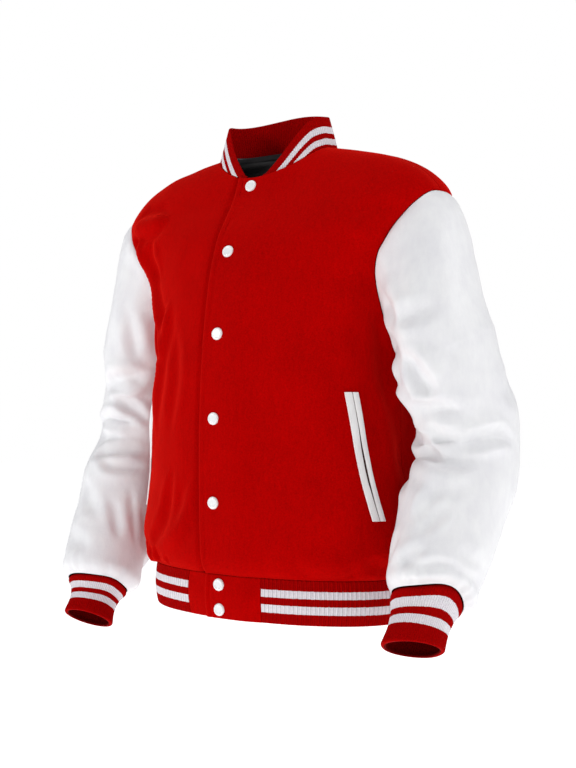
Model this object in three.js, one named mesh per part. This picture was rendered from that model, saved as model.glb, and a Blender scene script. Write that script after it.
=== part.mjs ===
// Varsity jacket, filled out as if worn, millimetres, +Z up.
// The front faces -Y, the wearer's left is +X. The origin lies at the middle of
// the neck, level with the high points of the shoulders.
import * as THREE from 'three';

// ---------------------------------------------------------------- named sizes
const WOOL = 2.6;            // body cloth with its lining, wall
const LEATHER = 2.0;         // sleeve leather with its lining, wall
const RIB = 3.0;             // doubled rib knit, wall
const SEAM = 0.35;           // gap between neighbouring pieces
const BAND_TOP = -588;       // waistband seam
const BAND_HEIGHT = 60;
const OVERLAP = 27;          // each front passes the centre line by this
const LAP_LIFT = 3.9;        // the left front lies this far out, over the right
const LAP_FADE = 70;         // ... and comes back to the common surface here
const TAB_END = 66;          // wool tabs of the waistband end this far out
const COLLAR_BACK = 52;      // height of the rib collar at the nape
const COLLAR_SIDE = 46.5;    // at the sides; the wearer's right stands 1.8 higher, the left 1.8 lower
const COLLAR_LEAN = 13;      // the collar leans in by this at its top
const COLLAR_END = 15;       // the collar starts this far from the centre
const SNAP_R = 8.6;          // snap cap radius
const SNAP_H = 3.4;
const ARM_OPEN_FRONT = 26;   // half width of the armhole, degrees of the ring
const ARM_OPEN_BACK = 22;
const CUFF_WALL = 3.0;

const RED = 0xa80000, WHITE = 0xf1f1f4, BLACK = 0x0a0a0c, SNAPC = 0xf6f8f8, DARK = 0x6d0000;

// Rings of the body, hem to neck. z, y: level and depth at the side, the centre
// front and the centre back; x: half width; yS: depth of the side line; n: how
// full the ring is (2 is an ellipse).
const BODY = [
  // name          zS    x    yS   zF    yF    zB    yB   n
  ['hem',        -588, 211,  12, -588, -114, -588, 134, 2.1],
  ['blouse low', -575, 224,  12, -574, -122, -576, 146, 2.1],
  ['blouse',     -546, 235,  12, -545, -126, -547, 154, 2.1],
  ['waist',      -457, 219,  12, -455, -128, -457, 156, 2.1],
  ['mid',        -374, 213,  12, -372, -127, -374, 155, 2.1],
  ['underarm',   -292, 208,  13, -285, -122, -298, 151, 2.1],
  ['low arm',    -230, 210,  13, -215, -113, -238, 146, 2.2],
  ['mid arm',    -178, 219,  13, -165, -103, -186, 139, 2.3],
  ['high arm',   -132, 245,  13, -124,  -89, -134, 128, 2.45],
  ['shoulder',   -101, 265,  14,  -98,  -74,  -98, 117, 2.6],
  ['tip',         -74, 272,  14,  -82,  -64,  -66, 107, 2.65],
  ['slope 1',     -44, 245,  11,  -69,  -57,  -42,  99, 2.6],
  ['slope 2',     -23, 202,   7,  -57,  -52,  -22,  90, 2.4],
  ['slope 3',     -10, 150,   3,  -46,  -48,   -5,  81, 2.2],
  ['neck',          0,  97,   0,  -38,  -46,   10,  72, 2.05],
];
const COL = { zS: 1, x: 2, yS: 3, zF: 4, yF: 5, zB: 6, yB: 7, n: 8 };
const T_UNDER = 5, T_TIP = 10, T_NECK = 14;

// Sleeve centre lines from the first full ring to the cuff seam, and the
// half widths of the sleeve across (rx) and fore and aft (ry).
const SLEEVE_LEFT = [
  //  x    y     z    rx   ry
  [283,  10, -284,  66,  76],
  [290,  22, -337,  67,  75],
  [298,  36, -392,  67,  72],
  [301,  30, -442,  67,  72],
  [298,   2, -494,  66,  70],
  [297, -24, -545,  63,  66],
  [295, -42, -583,  58,  60],
  [293, -52, -606,  51,  50],
];
const SLEEVE_RIGHT = [
  [275,  20, -284,  66,  77],
  [284,  29, -338,  66,  75],
  [292,  30, -396,  66,  72],
  [297,  14, -450,  67,  72],
  [298, -10, -506,  66,  70],
  [298, -36, -560,  63,  66],
  [296, -56, -600,  58,  60],
  [295, -66, -623,  51,  50],
];
const CUFF_LENGTH = 61;
const CUFF_TOP_R = [48, 45], CUFF_END_R = [38.5, 37.5];

// Large folds of the sleeves: s is rings from the cap's end, at is degrees round
// from the outer side (90 is the front), depth out, and reach along and round.
const FOLDS_LEFT = [
  //  s    at   depth  along round
  [-0.7, 150,  -7,   0.45,  34],
  [ 0.5, 140,   6,   0.50,  30],
  [ 1.5, 120,  -8,   0.42,  46],
  [ 2.3, 110,   6,   0.40,  50],
  [ 3.0,  96,  -8,   0.40,  55],
  [ 3.9, 120,   5,   0.45,  50],
  [ 5.2,  60,   4,   0.60,  70],
];
const FOLDS_RIGHT = [
  [-0.5, 110,  -6,   0.45,  40],
  [ 0.9, 100,  -7,   0.45,  60],
  [ 1.8,  90,   6,   0.40,  50],
  [ 2.6, 100,  -8,   0.40,  60],
  [ 3.6,  90,   5,   0.50,  60],
  [ 5.0, 300,   4,   0.60,  70],
];

// Snaps down the centre front: level on the centre line.
const SNAPS = [
  ['snap_1', -52], ['snap_2', -147], ['snap_3', -260], ['snap_4', -375], ['snap_5', -489],
];
const BAND_SNAPS = [['snap_6', -601], ['snap_7', -635]];

// Welt pockets: upper and lower end of the welt on the body surface,
// as degrees round from the centre front and as level.
const POCKET = { topAngle: 59, topZ: -339, endAngle: 68.4, endZ: -508, half: 10.5, slit: 1.7 };

// ------------------------------------------------------------------- helpers
const rad = Math.PI / 180;
const clamp = (v, a, b) => Math.min(b, Math.max(a, v));
const smooth = (v) => { const t = clamp(v, 0, 1); return t * t * (3 - 2 * t); };
const V = (x, y, z) => new THREE.Vector3(x, y, z);

// Catmull-Rom value of column c of a table at row position t.
function column(table, c, t) {
  const n = table.length - 1, i = clamp(Math.floor(t), 0, n - 1), f = t - i;
  const p1 = table[i][c], p2 = table[i + 1][c];
  const p0 = i > 0 ? table[i - 1][c] : 2 * p1 - p2;
  const p3 = i < n - 1 ? table[i + 2][c] : 2 * p2 - p1;
  const m1 = (p2 - p0) / 2, m2 = (p3 - p1) / 2;
  const f2 = f * f, f3 = f2 * f;
  return (2 * f3 - 3 * f2 + 1) * p1 + (f3 - 2 * f2 + f) * m1 + (-2 * f3 + 3 * f2) * p2 + (f3 - f2) * m2;
}

// A point of the body: a is degrees round (-90 centre front, 0 left side,
// 90 centre back), t is the position in the table of rings.
function bodyPoint(a, t) {
  const q = (name) => column(BODY, COL[name], t);
  const c = Math.cos(a * rad), s = Math.sin(a * rad);
  const n = 2 / q('n');
  const front = s < 0;
  const x = q('x') * Math.sign(c) * Math.abs(c) ** n;
  const reach = (front ? q('yF') : q('yB')) - q('yS');
  const y = q('yS') + reach * Math.abs(s) ** n;
  const w = Math.abs(s) ** 2;
  const z = q('zS') * (1 - w) + (front ? q('zF') : q('zB')) * w;
  return V(x, y, z);
}

function bodyNormal(a, t) {
  const h = 0.02, k = 0.5;
  const t0 = clamp(t - h, 0, T_NECK), t1 = clamp(t + h, 0, T_NECK);
  const du = bodyPoint(a + k, t).sub(bodyPoint(a - k, t));
  const dv = bodyPoint(a, t1).sub(bodyPoint(a, t0));
  return du.cross(dv).normalize();
}

// Angle of the ring at which the body is x from the centre line, front side.
function angleAtX(x, t) {
  const w = column(BODY, COL.x, t);
  return -Math.acos(clamp(x / w, -1, 1) ** (column(BODY, COL.n, t) / 2)) / rad;
}
const frontAngle = (x, t) => (x >= 0 ? angleAtX(x, t) : -180 - angleAtX(-x, t));

// Half opening of the armhole at row position t, in degrees. The front edge
// stays full up to the tip and runs in slowly to the underarm.
function armAngle(t, open) {
  const mid = (T_UNDER + T_TIP) / 2, half = (T_TIP - T_UNDER) / 2;
  const r = (t - mid) / half;
  if (Math.abs(r) >= 1) return 0;
  if (open !== ARM_OPEN_FRONT) return open * Math.sqrt(1 - r * r);
  return open * (r > 0 ? (1 - r ** 3) ** 0.385 : (1 - (-r) ** 1.2) ** 0.7);
}

// Row positions from the hem to the neck; the armhole's rows are closest near
// its two ends, where its edge turns.
const ARM_ROWS = 10;
const ROWS = [];
for (const t of [0, 0.5, 1, 2, 3, 4]) ROWS.push(t);
for (let k = 0; k <= ARM_ROWS; k++) {
  ROWS.push((T_UNDER + T_TIP) / 2 - (T_TIP - T_UNDER) / 2 * Math.cos(Math.PI * k / ARM_ROWS));
}
for (const t of [11, 12, 13, 14]) ROWS.push(t);

// A wall from a grid of outer points and outward normals, thick inwards. The
// grid may close round (wrap) and each side is closed by its edge faces.
function wall(points, normals, thick, wrap = false) {
  const rows = points.length, cols = points[0].length;
  const pos = [], idx = [];
  for (const side of [0, 1]) {
    for (let i = 0; i < rows; i++) for (let j = 0; j < cols; j++) {
      const th = typeof thick === 'function' ? thick(i, j) : thick;
      const p = points[i][j].clone().addScaledVector(normals[i][j], side ? -th : 0);
      pos.push(p.x, p.y, p.z);
    }
  }
  const at = (side, i, j) => side * rows * cols + i * cols + (j % cols);
  const quad = (a, b, c, d) => { idx.push(a, b, c, a, c, d); };
  const last = wrap ? cols : cols - 1;
  for (let i = 0; i < rows - 1; i++) for (let j = 0; j < last; j++) {
    quad(at(0, i, j), at(0, i, j + 1), at(0, i + 1, j + 1), at(0, i + 1, j));
    quad(at(1, i, j), at(1, i + 1, j), at(1, i + 1, j + 1), at(1, i, j + 1));
  }
  for (let j = 0; j < last; j++) {
    quad(at(0, 0, j), at(1, 0, j), at(1, 0, j + 1), at(0, 0, j + 1));
    quad(at(0, rows - 1, j), at(0, rows - 1, j + 1), at(1, rows - 1, j + 1), at(1, rows - 1, j));
  }
  if (!wrap) for (let i = 0; i < rows - 1; i++) {
    quad(at(0, i, 0), at(0, i + 1, 0), at(1, i + 1, 0), at(1, i, 0));
    quad(at(0, i, cols - 1), at(1, i, cols - 1), at(1, i + 1, cols - 1), at(0, i + 1, cols - 1));
  }
  const g = new THREE.BufferGeometry();
  g.setAttribute('position', new THREE.Float32BufferAttribute(pos, 3));
  g.setIndex(idx);
  // faces point out whichever way the grid runs
  let volume = 0;
  const A = V(), B = V(), C = V();
  for (let k = 0; k < idx.length; k += 3) {
    A.fromArray(pos, idx[k] * 3); B.fromArray(pos, idx[k + 1] * 3); C.fromArray(pos, idx[k + 2] * 3);
    volume += A.dot(B.cross(C));
  }
  if (volume < 0) for (let k = 0; k < idx.length; k += 3) {
    const m = idx[k + 1]; idx[k + 1] = idx[k + 2]; idx[k + 2] = m;
  }
  g.setIndex(idx);
  g.computeVertexNormals();
  return g;
}

// Outward normals of a grid of points; ref(i, j) tells the outward side.
function gridNormals(points, ref, wrap = false) {
  const rows = points.length, cols = points[0].length;
  return points.map((row, i) => row.map((p, j) => {
    const i0 = Math.max(0, i - 1), i1 = Math.min(rows - 1, i + 1);
    const j0 = wrap ? (j + cols - 1) % cols : Math.max(0, j - 1);
    const j1 = wrap ? (j + 1) % cols : Math.min(cols - 1, j + 1);
    const du = points[i][j1].clone().sub(points[i][j0]);
    const dv = points[i1][j].clone().sub(points[i0][j]);
    const n = du.cross(dv).normalize();
    return n.dot(ref(i, j)) < 0 ? n.negate() : n;
  }));
}

// Pull the edge points of a grid in by half a seam.
function inset(points, sides, gap = SEAM / 2) {
  const rows = points.length, cols = points[0].length;
  const pull = (p, q) => p.add(q.clone().sub(p).setLength(gap));
  const src = points.map((r) => r.map((p) => p.clone()));
  for (let j = 0; j < cols; j++) {
    if (sides.bottom) pull(points[0][j], src[1][j]);
    if (sides.top) pull(points[rows - 1][j], src[rows - 2][j]);
  }
  for (let i = 0; i < rows; i++) {
    if (sides.left) pull(points[i][0], src[i][1]);
    if (sides.right) pull(points[i][cols - 1], src[i][cols - 2]);
  }
  return points;
}

const group = new THREE.Group();
const cloth = (color, roughness = 0.9) =>
  new THREE.MeshStandardMaterial({ color, roughness, metalness: 0, side: THREE.FrontSide });
function add(name, geometry, color, roughness) {
  const m = new THREE.Mesh(geometry, cloth(color, roughness));
  m.name = name;
  group.add(m);
  return m;
}
// The right-hand copy of a left-hand shape.
const mirrored = (points) => points.map((r) => r.map((p) => V(-p.x, p.y, p.z)));

// How far the left front stands out over the right front near the centre.
const lap = (x) => LAP_LIFT * (1 - smooth((x - OVERLAP - 4) / (LAP_FADE - OVERLAP)));

// ------------------------------------------------------------------ the body
const U_FRONT = 13, U_BACK = 15;

// Outer points of a front. over: it is the left front, lying outside.
function frontGrid(over) {
  const pts = [], nrm = [];
  for (const t of ROWS) {
    const edge = frontAngle(-OVERLAP, t);
    const side = -armAngle(t, ARM_OPEN_FRONT);
    const row = [], nr = [];
    for (let j = 0; j <= U_FRONT; j++) {
      const u = j / U_FRONT, a = edge + (side - edge) * u;
      const p = bodyPoint(a, t), n = bodyNormal(a, t);
      if (over) p.addScaledVector(V(n.x, n.y, 0).normalize(), lap(p.x));
      row.push(p); nr.push(n);
    }
    pts.push(row); nrm.push(nr);
  }
  return { pts, nrm };
}
{
  const { pts, nrm } = frontGrid(true);
  inset(pts, { bottom: true, top: true, right: true });
  add('left_front', wall(pts, nrm, WOOL), RED);
}
{
  const { pts, nrm } = frontGrid(false);
  inset(pts, { bottom: true, top: true, right: true });
  add('right_front', wall(mirrored(pts), mirrored(nrm), WOOL), RED);
}
{
  const pts = [], nrm = [];
  for (const t of ROWS) {
    const a0 = armAngle(t, ARM_OPEN_BACK), a1 = 180 - a0;
    const row = [], nr = [];
    for (let j = 0; j <= U_BACK; j++) {
      const a = a0 + (a1 - a0) * j / U_BACK;
      row.push(bodyPoint(a, t)); nr.push(bodyNormal(a, t));
    }
    pts.push(row); nrm.push(nr);
  }
  inset(pts, { bottom: true, top: true, left: true, right: true });
  add('back', wall(pts, nrm, WOOL), RED);
}

// ------------------------------------------------------------- the waistband
// A point of the band: a degrees round, v 0 at the body seam, 1 at the bottom.
function bandPoint(a, v, out = 0) {
  const p = bodyPoint(a, 0);
  const c = V(0, 12, 0);
  const flat = V(p.x - c.x, p.y - c.y, 0);
  const r = flat.length();
  const grow = 1 + (3 * Math.sin(Math.PI * clamp(v, 0, 1)) - 2 * v) / r;
  flat.multiplyScalar(grow + out / r);
  return V(c.x + flat.x, c.y + flat.y, BAND_TOP - BAND_HEIGHT * v);
}
function bandStrip(a0, a1, steps, outAt) {
  const pts = [], nrm = [];
  for (const v of [0, 0.33, 0.66, 1]) {
    const row = [], nr = [];
    for (let j = 0; j <= steps; j++) {
      const a = a0 + (a1 - a0) * j / steps;
      const p = bandPoint(a, v);
      const q0 = bandPoint(a - 1, v), q1 = bandPoint(a + 1, v);
      const n = q1.sub(q0).cross(V(0, 0, 1)).normalize();
      row.push(p.addScaledVector(n, outAt(p.x, p.y))); nr.push(n);
    }
    pts.push(row); nrm.push(nr);
  }
  return { pts, nrm };
}
{
  const tabA = frontAngle(TAB_END, 0);
  const left = bandStrip(frontAngle(-OVERLAP, 0), tabA, 5, lap);
  inset(left.pts, { bottom: true, right: true });
  add('left_band_tab', wall(left.pts, left.nrm, WOOL), RED);
  const right = bandStrip(frontAngle(-OVERLAP, 0), tabA, 5, () => 0);
  inset(right.pts, { bottom: true, right: true });
  add('right_band_tab', wall(mirrored(right.pts), mirrored(right.nrm), WOOL), RED);
  // only its left front end lifts, where it meets the tab that laps over
  const rib = bandStrip(tabA, 180 - tabA, 40, (x, y) => (x > 0 && y < 12 ? lap(x) : 0));
  inset(rib.pts, { bottom: true, left: true, right: true });
  add('waistband_rib', wall(rib.pts, rib.nrm, RIB), RED);
}

// ---------------------------------------------------------------- the collar
function collarGrid() {
  const pts = [];
  const a0 = frontAngle(COLLAR_END, T_NECK), a1 = 180 - a0;
  const cols = 34;
  for (let i = 0; i <= 4; i++) {
    const row = [];
    for (let j = 0; j <= cols; j++) {
      const u = j / cols, a = a0 + (a1 - a0) * u;
      row.push(collarPoint(a, i / 4, u));
    }
    pts.push(row);
  }
  return pts;
}
// a degrees round the neck, v 0 at the seam and 1 at the top edge.
function collarPoint(a, v, u) {
  const base = bodyPoint(a, T_NECK);
  const end = Math.min(u, 1 - u);                      // 0 at the front ends
  const rise = Math.min(1, end / 0.17);
  const side = COLLAR_SIDE - 1.8 * Math.cos(a * Math.PI / 180);
  const high = (side + (COLLAR_BACK - side) * smooth((end - 0.2) / 0.3))
    * (1 - (1 - rise) ** 1.7);
  const h = Math.max(high, 3.2) * v;
  const c = V(0, 6, 0);
  const flat = V(base.x - c.x, base.y - c.y, 0).normalize();
  const lean = COLLAR_LEAN * (h / COLLAR_SIDE) ** 1.15;
  return V(base.x - flat.x * lean, base.y - flat.y * lean, base.z + h);
}
{
  const pts = collarGrid();
  const nrm = gridNormals(pts, (i, j) => { const p = pts[i][j]; return V(p.x, p.y - 6, 0); });
  inset(pts, { bottom: true });
  add('collar', wall(pts, nrm, RIB), RED);
}

// --------------------------------------------------------------- the sleeves
const CAP_RINGS = 5, ROUND = ARM_ROWS * 2;

// The armhole's edge as a loop, from the tip down the front to the underarm
// and up the back.
function armLoop() {
  const loop = [];
  const edge = (k, open, sign) => {
    const t = (T_UNDER + T_TIP) / 2 + (T_TIP - T_UNDER) / 2 * Math.cos(Math.PI * k / ARM_ROWS);
    return bodyPoint(sign * armAngle(t, open), t);
  };
  for (let k = 0; k < ARM_ROWS; k++) loop.push(edge(k, ARM_OPEN_FRONT, -1));
  for (let k = ARM_ROWS; k > 0; k--) loop.push(edge(k, ARM_OPEN_BACK, 1));
  return loop;
}

function frameAt(table, s) {
  const p = (t) => V(column(table, 0, t), column(table, 1, t), column(table, 2, t));
  const n = table.length - 1;
  const t0 = clamp(s - 0.1, 0, n), t1 = clamp(s + 0.1, 0, n);
  const T = p(t1).sub(p(t0)).normalize();
  const tilt = 1 - smooth(s / 1.6);          // the first rings slope like the cap
  T.add(V(0.30 * tilt, 0, 0)).normalize();
  const O = V(1, 0, 0).addScaledVector(T, -T.x).normalize();   // outer side
  const F = T.clone().cross(O).normalize();
  if (F.y > 0) F.negate();                                     // front side
  return { C: p(s), T, O, F, rx: column(table, 3, s), ry: column(table, 4, s) };
}
function ringPoint(fr, angle, grow = 0) {
  const c = Math.cos(angle), s = Math.sin(angle);
  return fr.C.clone().addScaledVector(fr.O, (fr.rx + grow) * c).addScaledVector(fr.F, (fr.ry + grow) * s);
}
function foldDepth(folds, s, deg) {
  let d = 0;
  for (const [fs, at, depth, along, round] of folds) {
    let w = Math.abs(deg - at); if (w > 180) w = 360 - w;
    d += depth * Math.exp(-(((s - fs) / along) ** 2) - (w / round) ** 2);
  }
  return d;
}
function sleeve(table, folds) {
  const loop = armLoop();
  const mid = loop.reduce((m, p) => m.add(p), V()).divideScalar(loop.length);
  const pts = [];
  const first = frameAt(table, 0);
  const ringLen = 150;
  for (let i = 0; i < CAP_RINGS; i++) {
    const h = i / CAP_RINGS, row = [];
    for (let k = 0; k < ROUND; k++) {
      const ang = 2 * Math.PI * k / ROUND, A = loop[k], B = ringPoint(first, ang);
      const out = A.clone().sub(mid); out.x = 0; out.normalize();
      const under = (1 - Math.cos(ang)) / 2;                 // 1 at the underarm
      const go = V(0.62, 0, -0.72 - 0.25 * under).addScaledVector(out, 0.30 * (1 - 0.6 * under)).normalize();
      const span = A.distanceTo(B);
      const m0 = go.multiplyScalar(span * (0.75 + 0.4 * under));
      const m1 = first.T.clone().multiplyScalar(span * (1.0 - 0.2 * under));
      const h2 = h * h, h3 = h2 * h;
      row.push(V()
        .addScaledVector(A, 2 * h3 - 3 * h2 + 1).addScaledVector(m0, h3 - 2 * h2 + h)
        .addScaledVector(B, -2 * h3 + 3 * h2).addScaledVector(m1, h3 - h2));
    }
    pts.push(row);
  }
  const stations = [];
  for (let s = 0; s <= table.length - 1 + 1e-9; s += 0.5) stations.push(s);
  for (const s of stations) {
    const fr = frameAt(table, s), row = [];
    for (let k = 0; k < ROUND; k++) row.push(ringPoint(fr, 2 * Math.PI * k / ROUND));
    pts.push(row);
  }
  const centres = pts.map((row) => row.reduce((m, p) => m.add(p), V()).divideScalar(row.length));
  const ref = (i, j) => pts[i][j].clone().sub(centres[i]);
  // folds, in rings from the cap's end
  const nrm0 = gridNormals(pts, ref, true);
  for (let i = 1; i < pts.length; i++) {
    const s = i < CAP_RINGS ? (i - CAP_RINGS) * 0.45 : stations[i - CAP_RINGS];
    for (let k = 0; k < ROUND; k++) {
      pts[i][k].addScaledVector(nrm0[i][k], foldDepth(folds, s, 360 * k / ROUND));
    }
  }
  const nrm = gridNormals(pts, ref, true);
  inset(pts, { bottom: true, top: true }, SEAM);
  return { pts, nrm };
}

// The cuff: a rib tube that carries on along the sleeve's last direction.
function cuff(table) {
  const fr = frameAt(table, table.length - 1);
  const pts = [], nrm = [];
  for (const v of [0, 0.08, 0.5, 1]) {
    const row = [];
    const squeeze = v === 0 ? 0 : 1;
    const C = fr.C.clone().addScaledVector(fr.T, 0.8 + CUFF_LENGTH * v);
    for (let k = 0; k < ROUND; k++) {
      const ang = 2 * Math.PI * k / ROUND;
      const rx = CUFF_TOP_R[0] + (CUFF_END_R[0] - CUFF_TOP_R[0]) * v * squeeze;
      const ry = CUFF_TOP_R[1] + (CUFF_END_R[1] - CUFF_TOP_R[1]) * v * squeeze;
      row.push(C.clone().addScaledVector(fr.O, rx * Math.cos(ang)).addScaledVector(fr.F, ry * Math.sin(ang)));
    }
    pts.push(row);
    nrm.push(row.map((p) => p.clone().sub(C).normalize()));
  }
  return { pts, nrm };
}
for (const [side, table, folds] of [['left', SLEEVE_LEFT, FOLDS_LEFT], ['right', SLEEVE_RIGHT, FOLDS_RIGHT]]) {
  const flip = side === 'right' ? mirrored : (g) => g;
  const s = sleeve(table, folds);
  add(side + '_sleeve', wall(flip(s.pts), flip(s.nrm), LEATHER, true), WHITE, 0.45);
  const c = cuff(table);
  add(side + '_cuff', wall(flip(c.pts), flip(c.nrm), CUFF_WALL, true), RED);
}

// --------------------------------------------------------------- the pockets
// Row position of a level at angle a, found on the rings.
function rowAtLevel(a, z) {
  let lo = 0, hi = T_UNDER;
  for (let k = 0; k < 40; k++) {
    const m = (lo + hi) / 2;
    if (bodyPoint(a, m).z < z) lo = m; else hi = m;
  }
  return (lo + hi) / 2;
}
// A point over the pocket line: w 0 at its upper end and 1 at its lower end,
// e across the line in mm (forward is negative), out from the body.
function pocketPoint(w, e, out) {
  const a = -90 + POCKET.topAngle + (POCKET.endAngle - POCKET.topAngle) * w;
  const z = POCKET.topZ + (POCKET.endZ - POCKET.topZ) * w;
  const t = rowAtLevel(a, z);
  const p = bodyPoint(a, t), n = bodyNormal(a, t);
  const q = bodyPoint(a + 1, t).sub(bodyPoint(a - 1, t)).normalize();
  return { p: p.addScaledVector(q, e).addScaledVector(n, out), n };
}
function weltStrip(w0, w1, e0, e1, low, high, steps) {
  const pts = [], nrm = [];
  for (const f of [0, 0.5, 1]) {
    const row = [], nr = [];
    for (let j = 0; j <= steps; j++) {
      const w = w0 + (w1 - w0) * j / steps;
      const r = pocketPoint(w, e0 + (e1 - e0) * f, high);
      row.push(r.p); nr.push(r.n);
    }
    pts.push(row); nrm.push(nr);
  }
  return { pts, nrm, thick: high - low };
}
for (const side of ['left', 'right']) {
  const flip = side === 'right' ? mirrored : (g) => g;
  const H = POCKET.half, S = POCKET.slit;
  const parts = [
    ['_welt_front', weltStrip(0, 1, -H, -S, 0.5, 3.0, 8), WHITE],
    ['_welt_rear', weltStrip(0, 1, S, H - 2.5, 0.5, 3.0, 8), WHITE],
    ['_pocket_slit', weltStrip(0.04, 0.96, -S + SEAM, S - SEAM, 0.4, 1.3, 8), DARK],
  ];
  for (const [name, g, color] of parts) add(side + name, wall(flip(g.pts), flip(g.nrm), g.thick), color, 0.6);
}

// ----------------------------------------------------------------- the snaps
// A flat-topped cap with a rounded rim and a shallow dish, standing on the cloth.
function snapGeometry() {
  const R = SNAP_R, H = SNAP_H;
  const profile = [[0, 0], [R * 0.93, 0], [R, H * 0.35], [R * 0.95, H * 0.75], [R * 0.8, H], [R * 0.5, H * 0.86], [0, H * 0.82]]
    .map(([r, h]) => new THREE.Vector2(r, h));
  return new THREE.LatheGeometry(profile, 14);
}
function setSnap(name, p, n, clear) {
  const m = add(name, snapGeometry(), SNAPC, 0.35);
  m.quaternion.setFromUnitVectors(V(0, 1, 0), n);
  m.position.copy(p).addScaledVector(n, clear);
}
for (const [name, z] of SNAPS) {
  let lo = 0, hi = T_NECK;
  for (let k = 0; k < 40; k++) { const m = (lo + hi) / 2; if (bodyPoint(-90, m).z < z) lo = m; else hi = m; }
  const n = bodyNormal(-90, lo);
  setSnap(name, bodyPoint(-90, lo).addScaledVector(n, lap(0)), n, 0.9);
}
for (const [name, z] of BAND_SNAPS) {
  const v = (BAND_TOP - z) / BAND_HEIGHT;
  setSnap(name, bandPoint(-90, v).add(V(0, -lap(0), 0)), V(0, -1, 0), 0.9);
}

// ------------------------------------------- the lining where the neck shows it
{
  const pts = [], nrm = [];
  for (const t of [12.2, 12.8, 13.4, 13.94]) {
    const row = [], nr = [];
    for (let j = 0; j <= 16; j++) {
      const a = 20 + 140 * j / 16, n = bodyNormal(a, t);
      row.push(bodyPoint(a, t).addScaledVector(n, -(WOOL + 1.0))); nr.push(n);
    }
    pts.push(row); nrm.push(nr);
  }
  add('neck_lining', wall(pts, nrm, 1.0), BLACK, 0.6);
}

export default group;
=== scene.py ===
# Varsity jacket, filled out as worn: fine cloth shells over the frame.
import math
import bpy
import numpy as np
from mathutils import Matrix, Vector


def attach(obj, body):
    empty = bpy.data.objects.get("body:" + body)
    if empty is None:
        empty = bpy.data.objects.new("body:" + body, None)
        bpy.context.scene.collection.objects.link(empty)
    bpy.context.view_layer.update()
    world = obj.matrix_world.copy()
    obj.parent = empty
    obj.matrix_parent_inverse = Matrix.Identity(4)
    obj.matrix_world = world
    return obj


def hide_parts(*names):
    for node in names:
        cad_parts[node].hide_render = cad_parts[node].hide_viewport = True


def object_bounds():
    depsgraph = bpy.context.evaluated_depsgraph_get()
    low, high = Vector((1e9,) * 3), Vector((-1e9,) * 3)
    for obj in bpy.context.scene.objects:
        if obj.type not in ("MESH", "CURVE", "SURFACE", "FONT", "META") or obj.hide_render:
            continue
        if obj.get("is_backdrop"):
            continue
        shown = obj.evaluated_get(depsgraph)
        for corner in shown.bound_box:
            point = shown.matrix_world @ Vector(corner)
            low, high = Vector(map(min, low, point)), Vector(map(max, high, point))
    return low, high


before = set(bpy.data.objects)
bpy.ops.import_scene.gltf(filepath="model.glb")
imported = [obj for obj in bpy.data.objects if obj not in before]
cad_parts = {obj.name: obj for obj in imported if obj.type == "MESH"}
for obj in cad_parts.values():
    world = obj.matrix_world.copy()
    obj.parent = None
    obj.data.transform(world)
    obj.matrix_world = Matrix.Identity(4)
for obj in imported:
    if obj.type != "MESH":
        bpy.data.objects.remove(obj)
cad_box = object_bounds()
MM = 0.001
RAD = math.pi / 180

# ------------------------------------------------------------ sizes, in mm
WOOL, LEATHER, RIB = 2.6, 2.0, 3.0
SEAM = 0.35
BAND_TOP, BAND_HEIGHT = -588.0, 60.0
OVERLAP, LAP_LIFT, LAP_FADE = 27.0, 3.9, 70.0
TAB_END = 66.0
COLLAR_BACK, COLLAR_SIDE, COLLAR_LEAN, COLLAR_END = 52.0, 46.5, 13.0, 15.0
SNAP_R, SNAP_H = 8.6, 3.4
ARM_OPEN_FRONT, ARM_OPEN_BACK = 26.0, 22.0
CUFF_LENGTH, CUFF_WALL = 61.0, 3.0
CUFF_TOP_R, CUFF_END_R = (48.0, 45.0), (38.5, 37.5)
T_UNDER, T_TIP, T_NECK = 5, 10, 14
BAND_RIB, FINE_RIB = 6.0, 3.3            # rib pitch of the waistband, and of cuffs and collar

# Rings of the body, hem to neck.
BODY = np.array([
    # zS    x    yS   zF    yF    zB    yB   n
    (-588, 211,  12, -588, -114, -588, 134, 2.1),    # hem
    (-575, 224,  12, -574, -122, -576, 146, 2.1),    # blouse low
    (-546, 235,  12, -545, -126, -547, 154, 2.1),    # blouse
    (-457, 219,  12, -455, -128, -457, 156, 2.1),    # waist
    (-374, 213,  12, -372, -127, -374, 155, 2.1),    # mid
    (-292, 208,  13, -285, -122, -298, 151, 2.1),    # underarm
    (-230, 210,  13, -215, -113, -238, 146, 2.2),    # low arm
    (-178, 219,  13, -165, -103, -186, 139, 2.3),    # mid arm
    (-132, 245,  13, -124,  -89, -134, 128, 2.45),   # high arm
    (-101, 265,  14,  -98,  -74,  -98, 117, 2.6),    # shoulder
    ( -74, 272,  14,  -82,  -64,  -66, 107, 2.65),   # tip
    ( -44, 245,  11,  -69,  -57,  -42,  99, 2.6),    # slope 1
    ( -23, 202,   7,  -57,  -52,  -22,  90, 2.4),    # slope 2
    ( -10, 150,   3,  -46,  -48,   -5,  81, 2.2),    # slope 3
    (   0,  97,   0,  -38,  -46,   10,  72, 2.05),   # neck
], float)
ZS, XW, YS, ZF, YF, ZB, YB, NN = range(8)

# Sleeve centre lines and half widths: x, y, z, across, fore and aft.
SLEEVES = {
    "left": np.array([
        (283,  10, -284, 66, 76), (290,  22, -337, 67, 75), (298,  36, -392, 67, 72),
        (301,  30, -442, 67, 72), (298,   2, -494, 66, 70), (297, -24, -545, 63, 66),
        (295, -42, -583, 58, 60), (293, -52, -606, 51, 50)], float),
    "right": np.array([
        (275,  20, -284, 66, 77), (284,  29, -338, 66, 75), (292,  30, -396, 66, 72),
        (297,  14, -450, 67, 72), (298, -10, -506, 66, 70), (298, -36, -560, 63, 66),
        (296, -56, -600, 58, 60), (295, -66, -623, 51, 50)], float),
}
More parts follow.
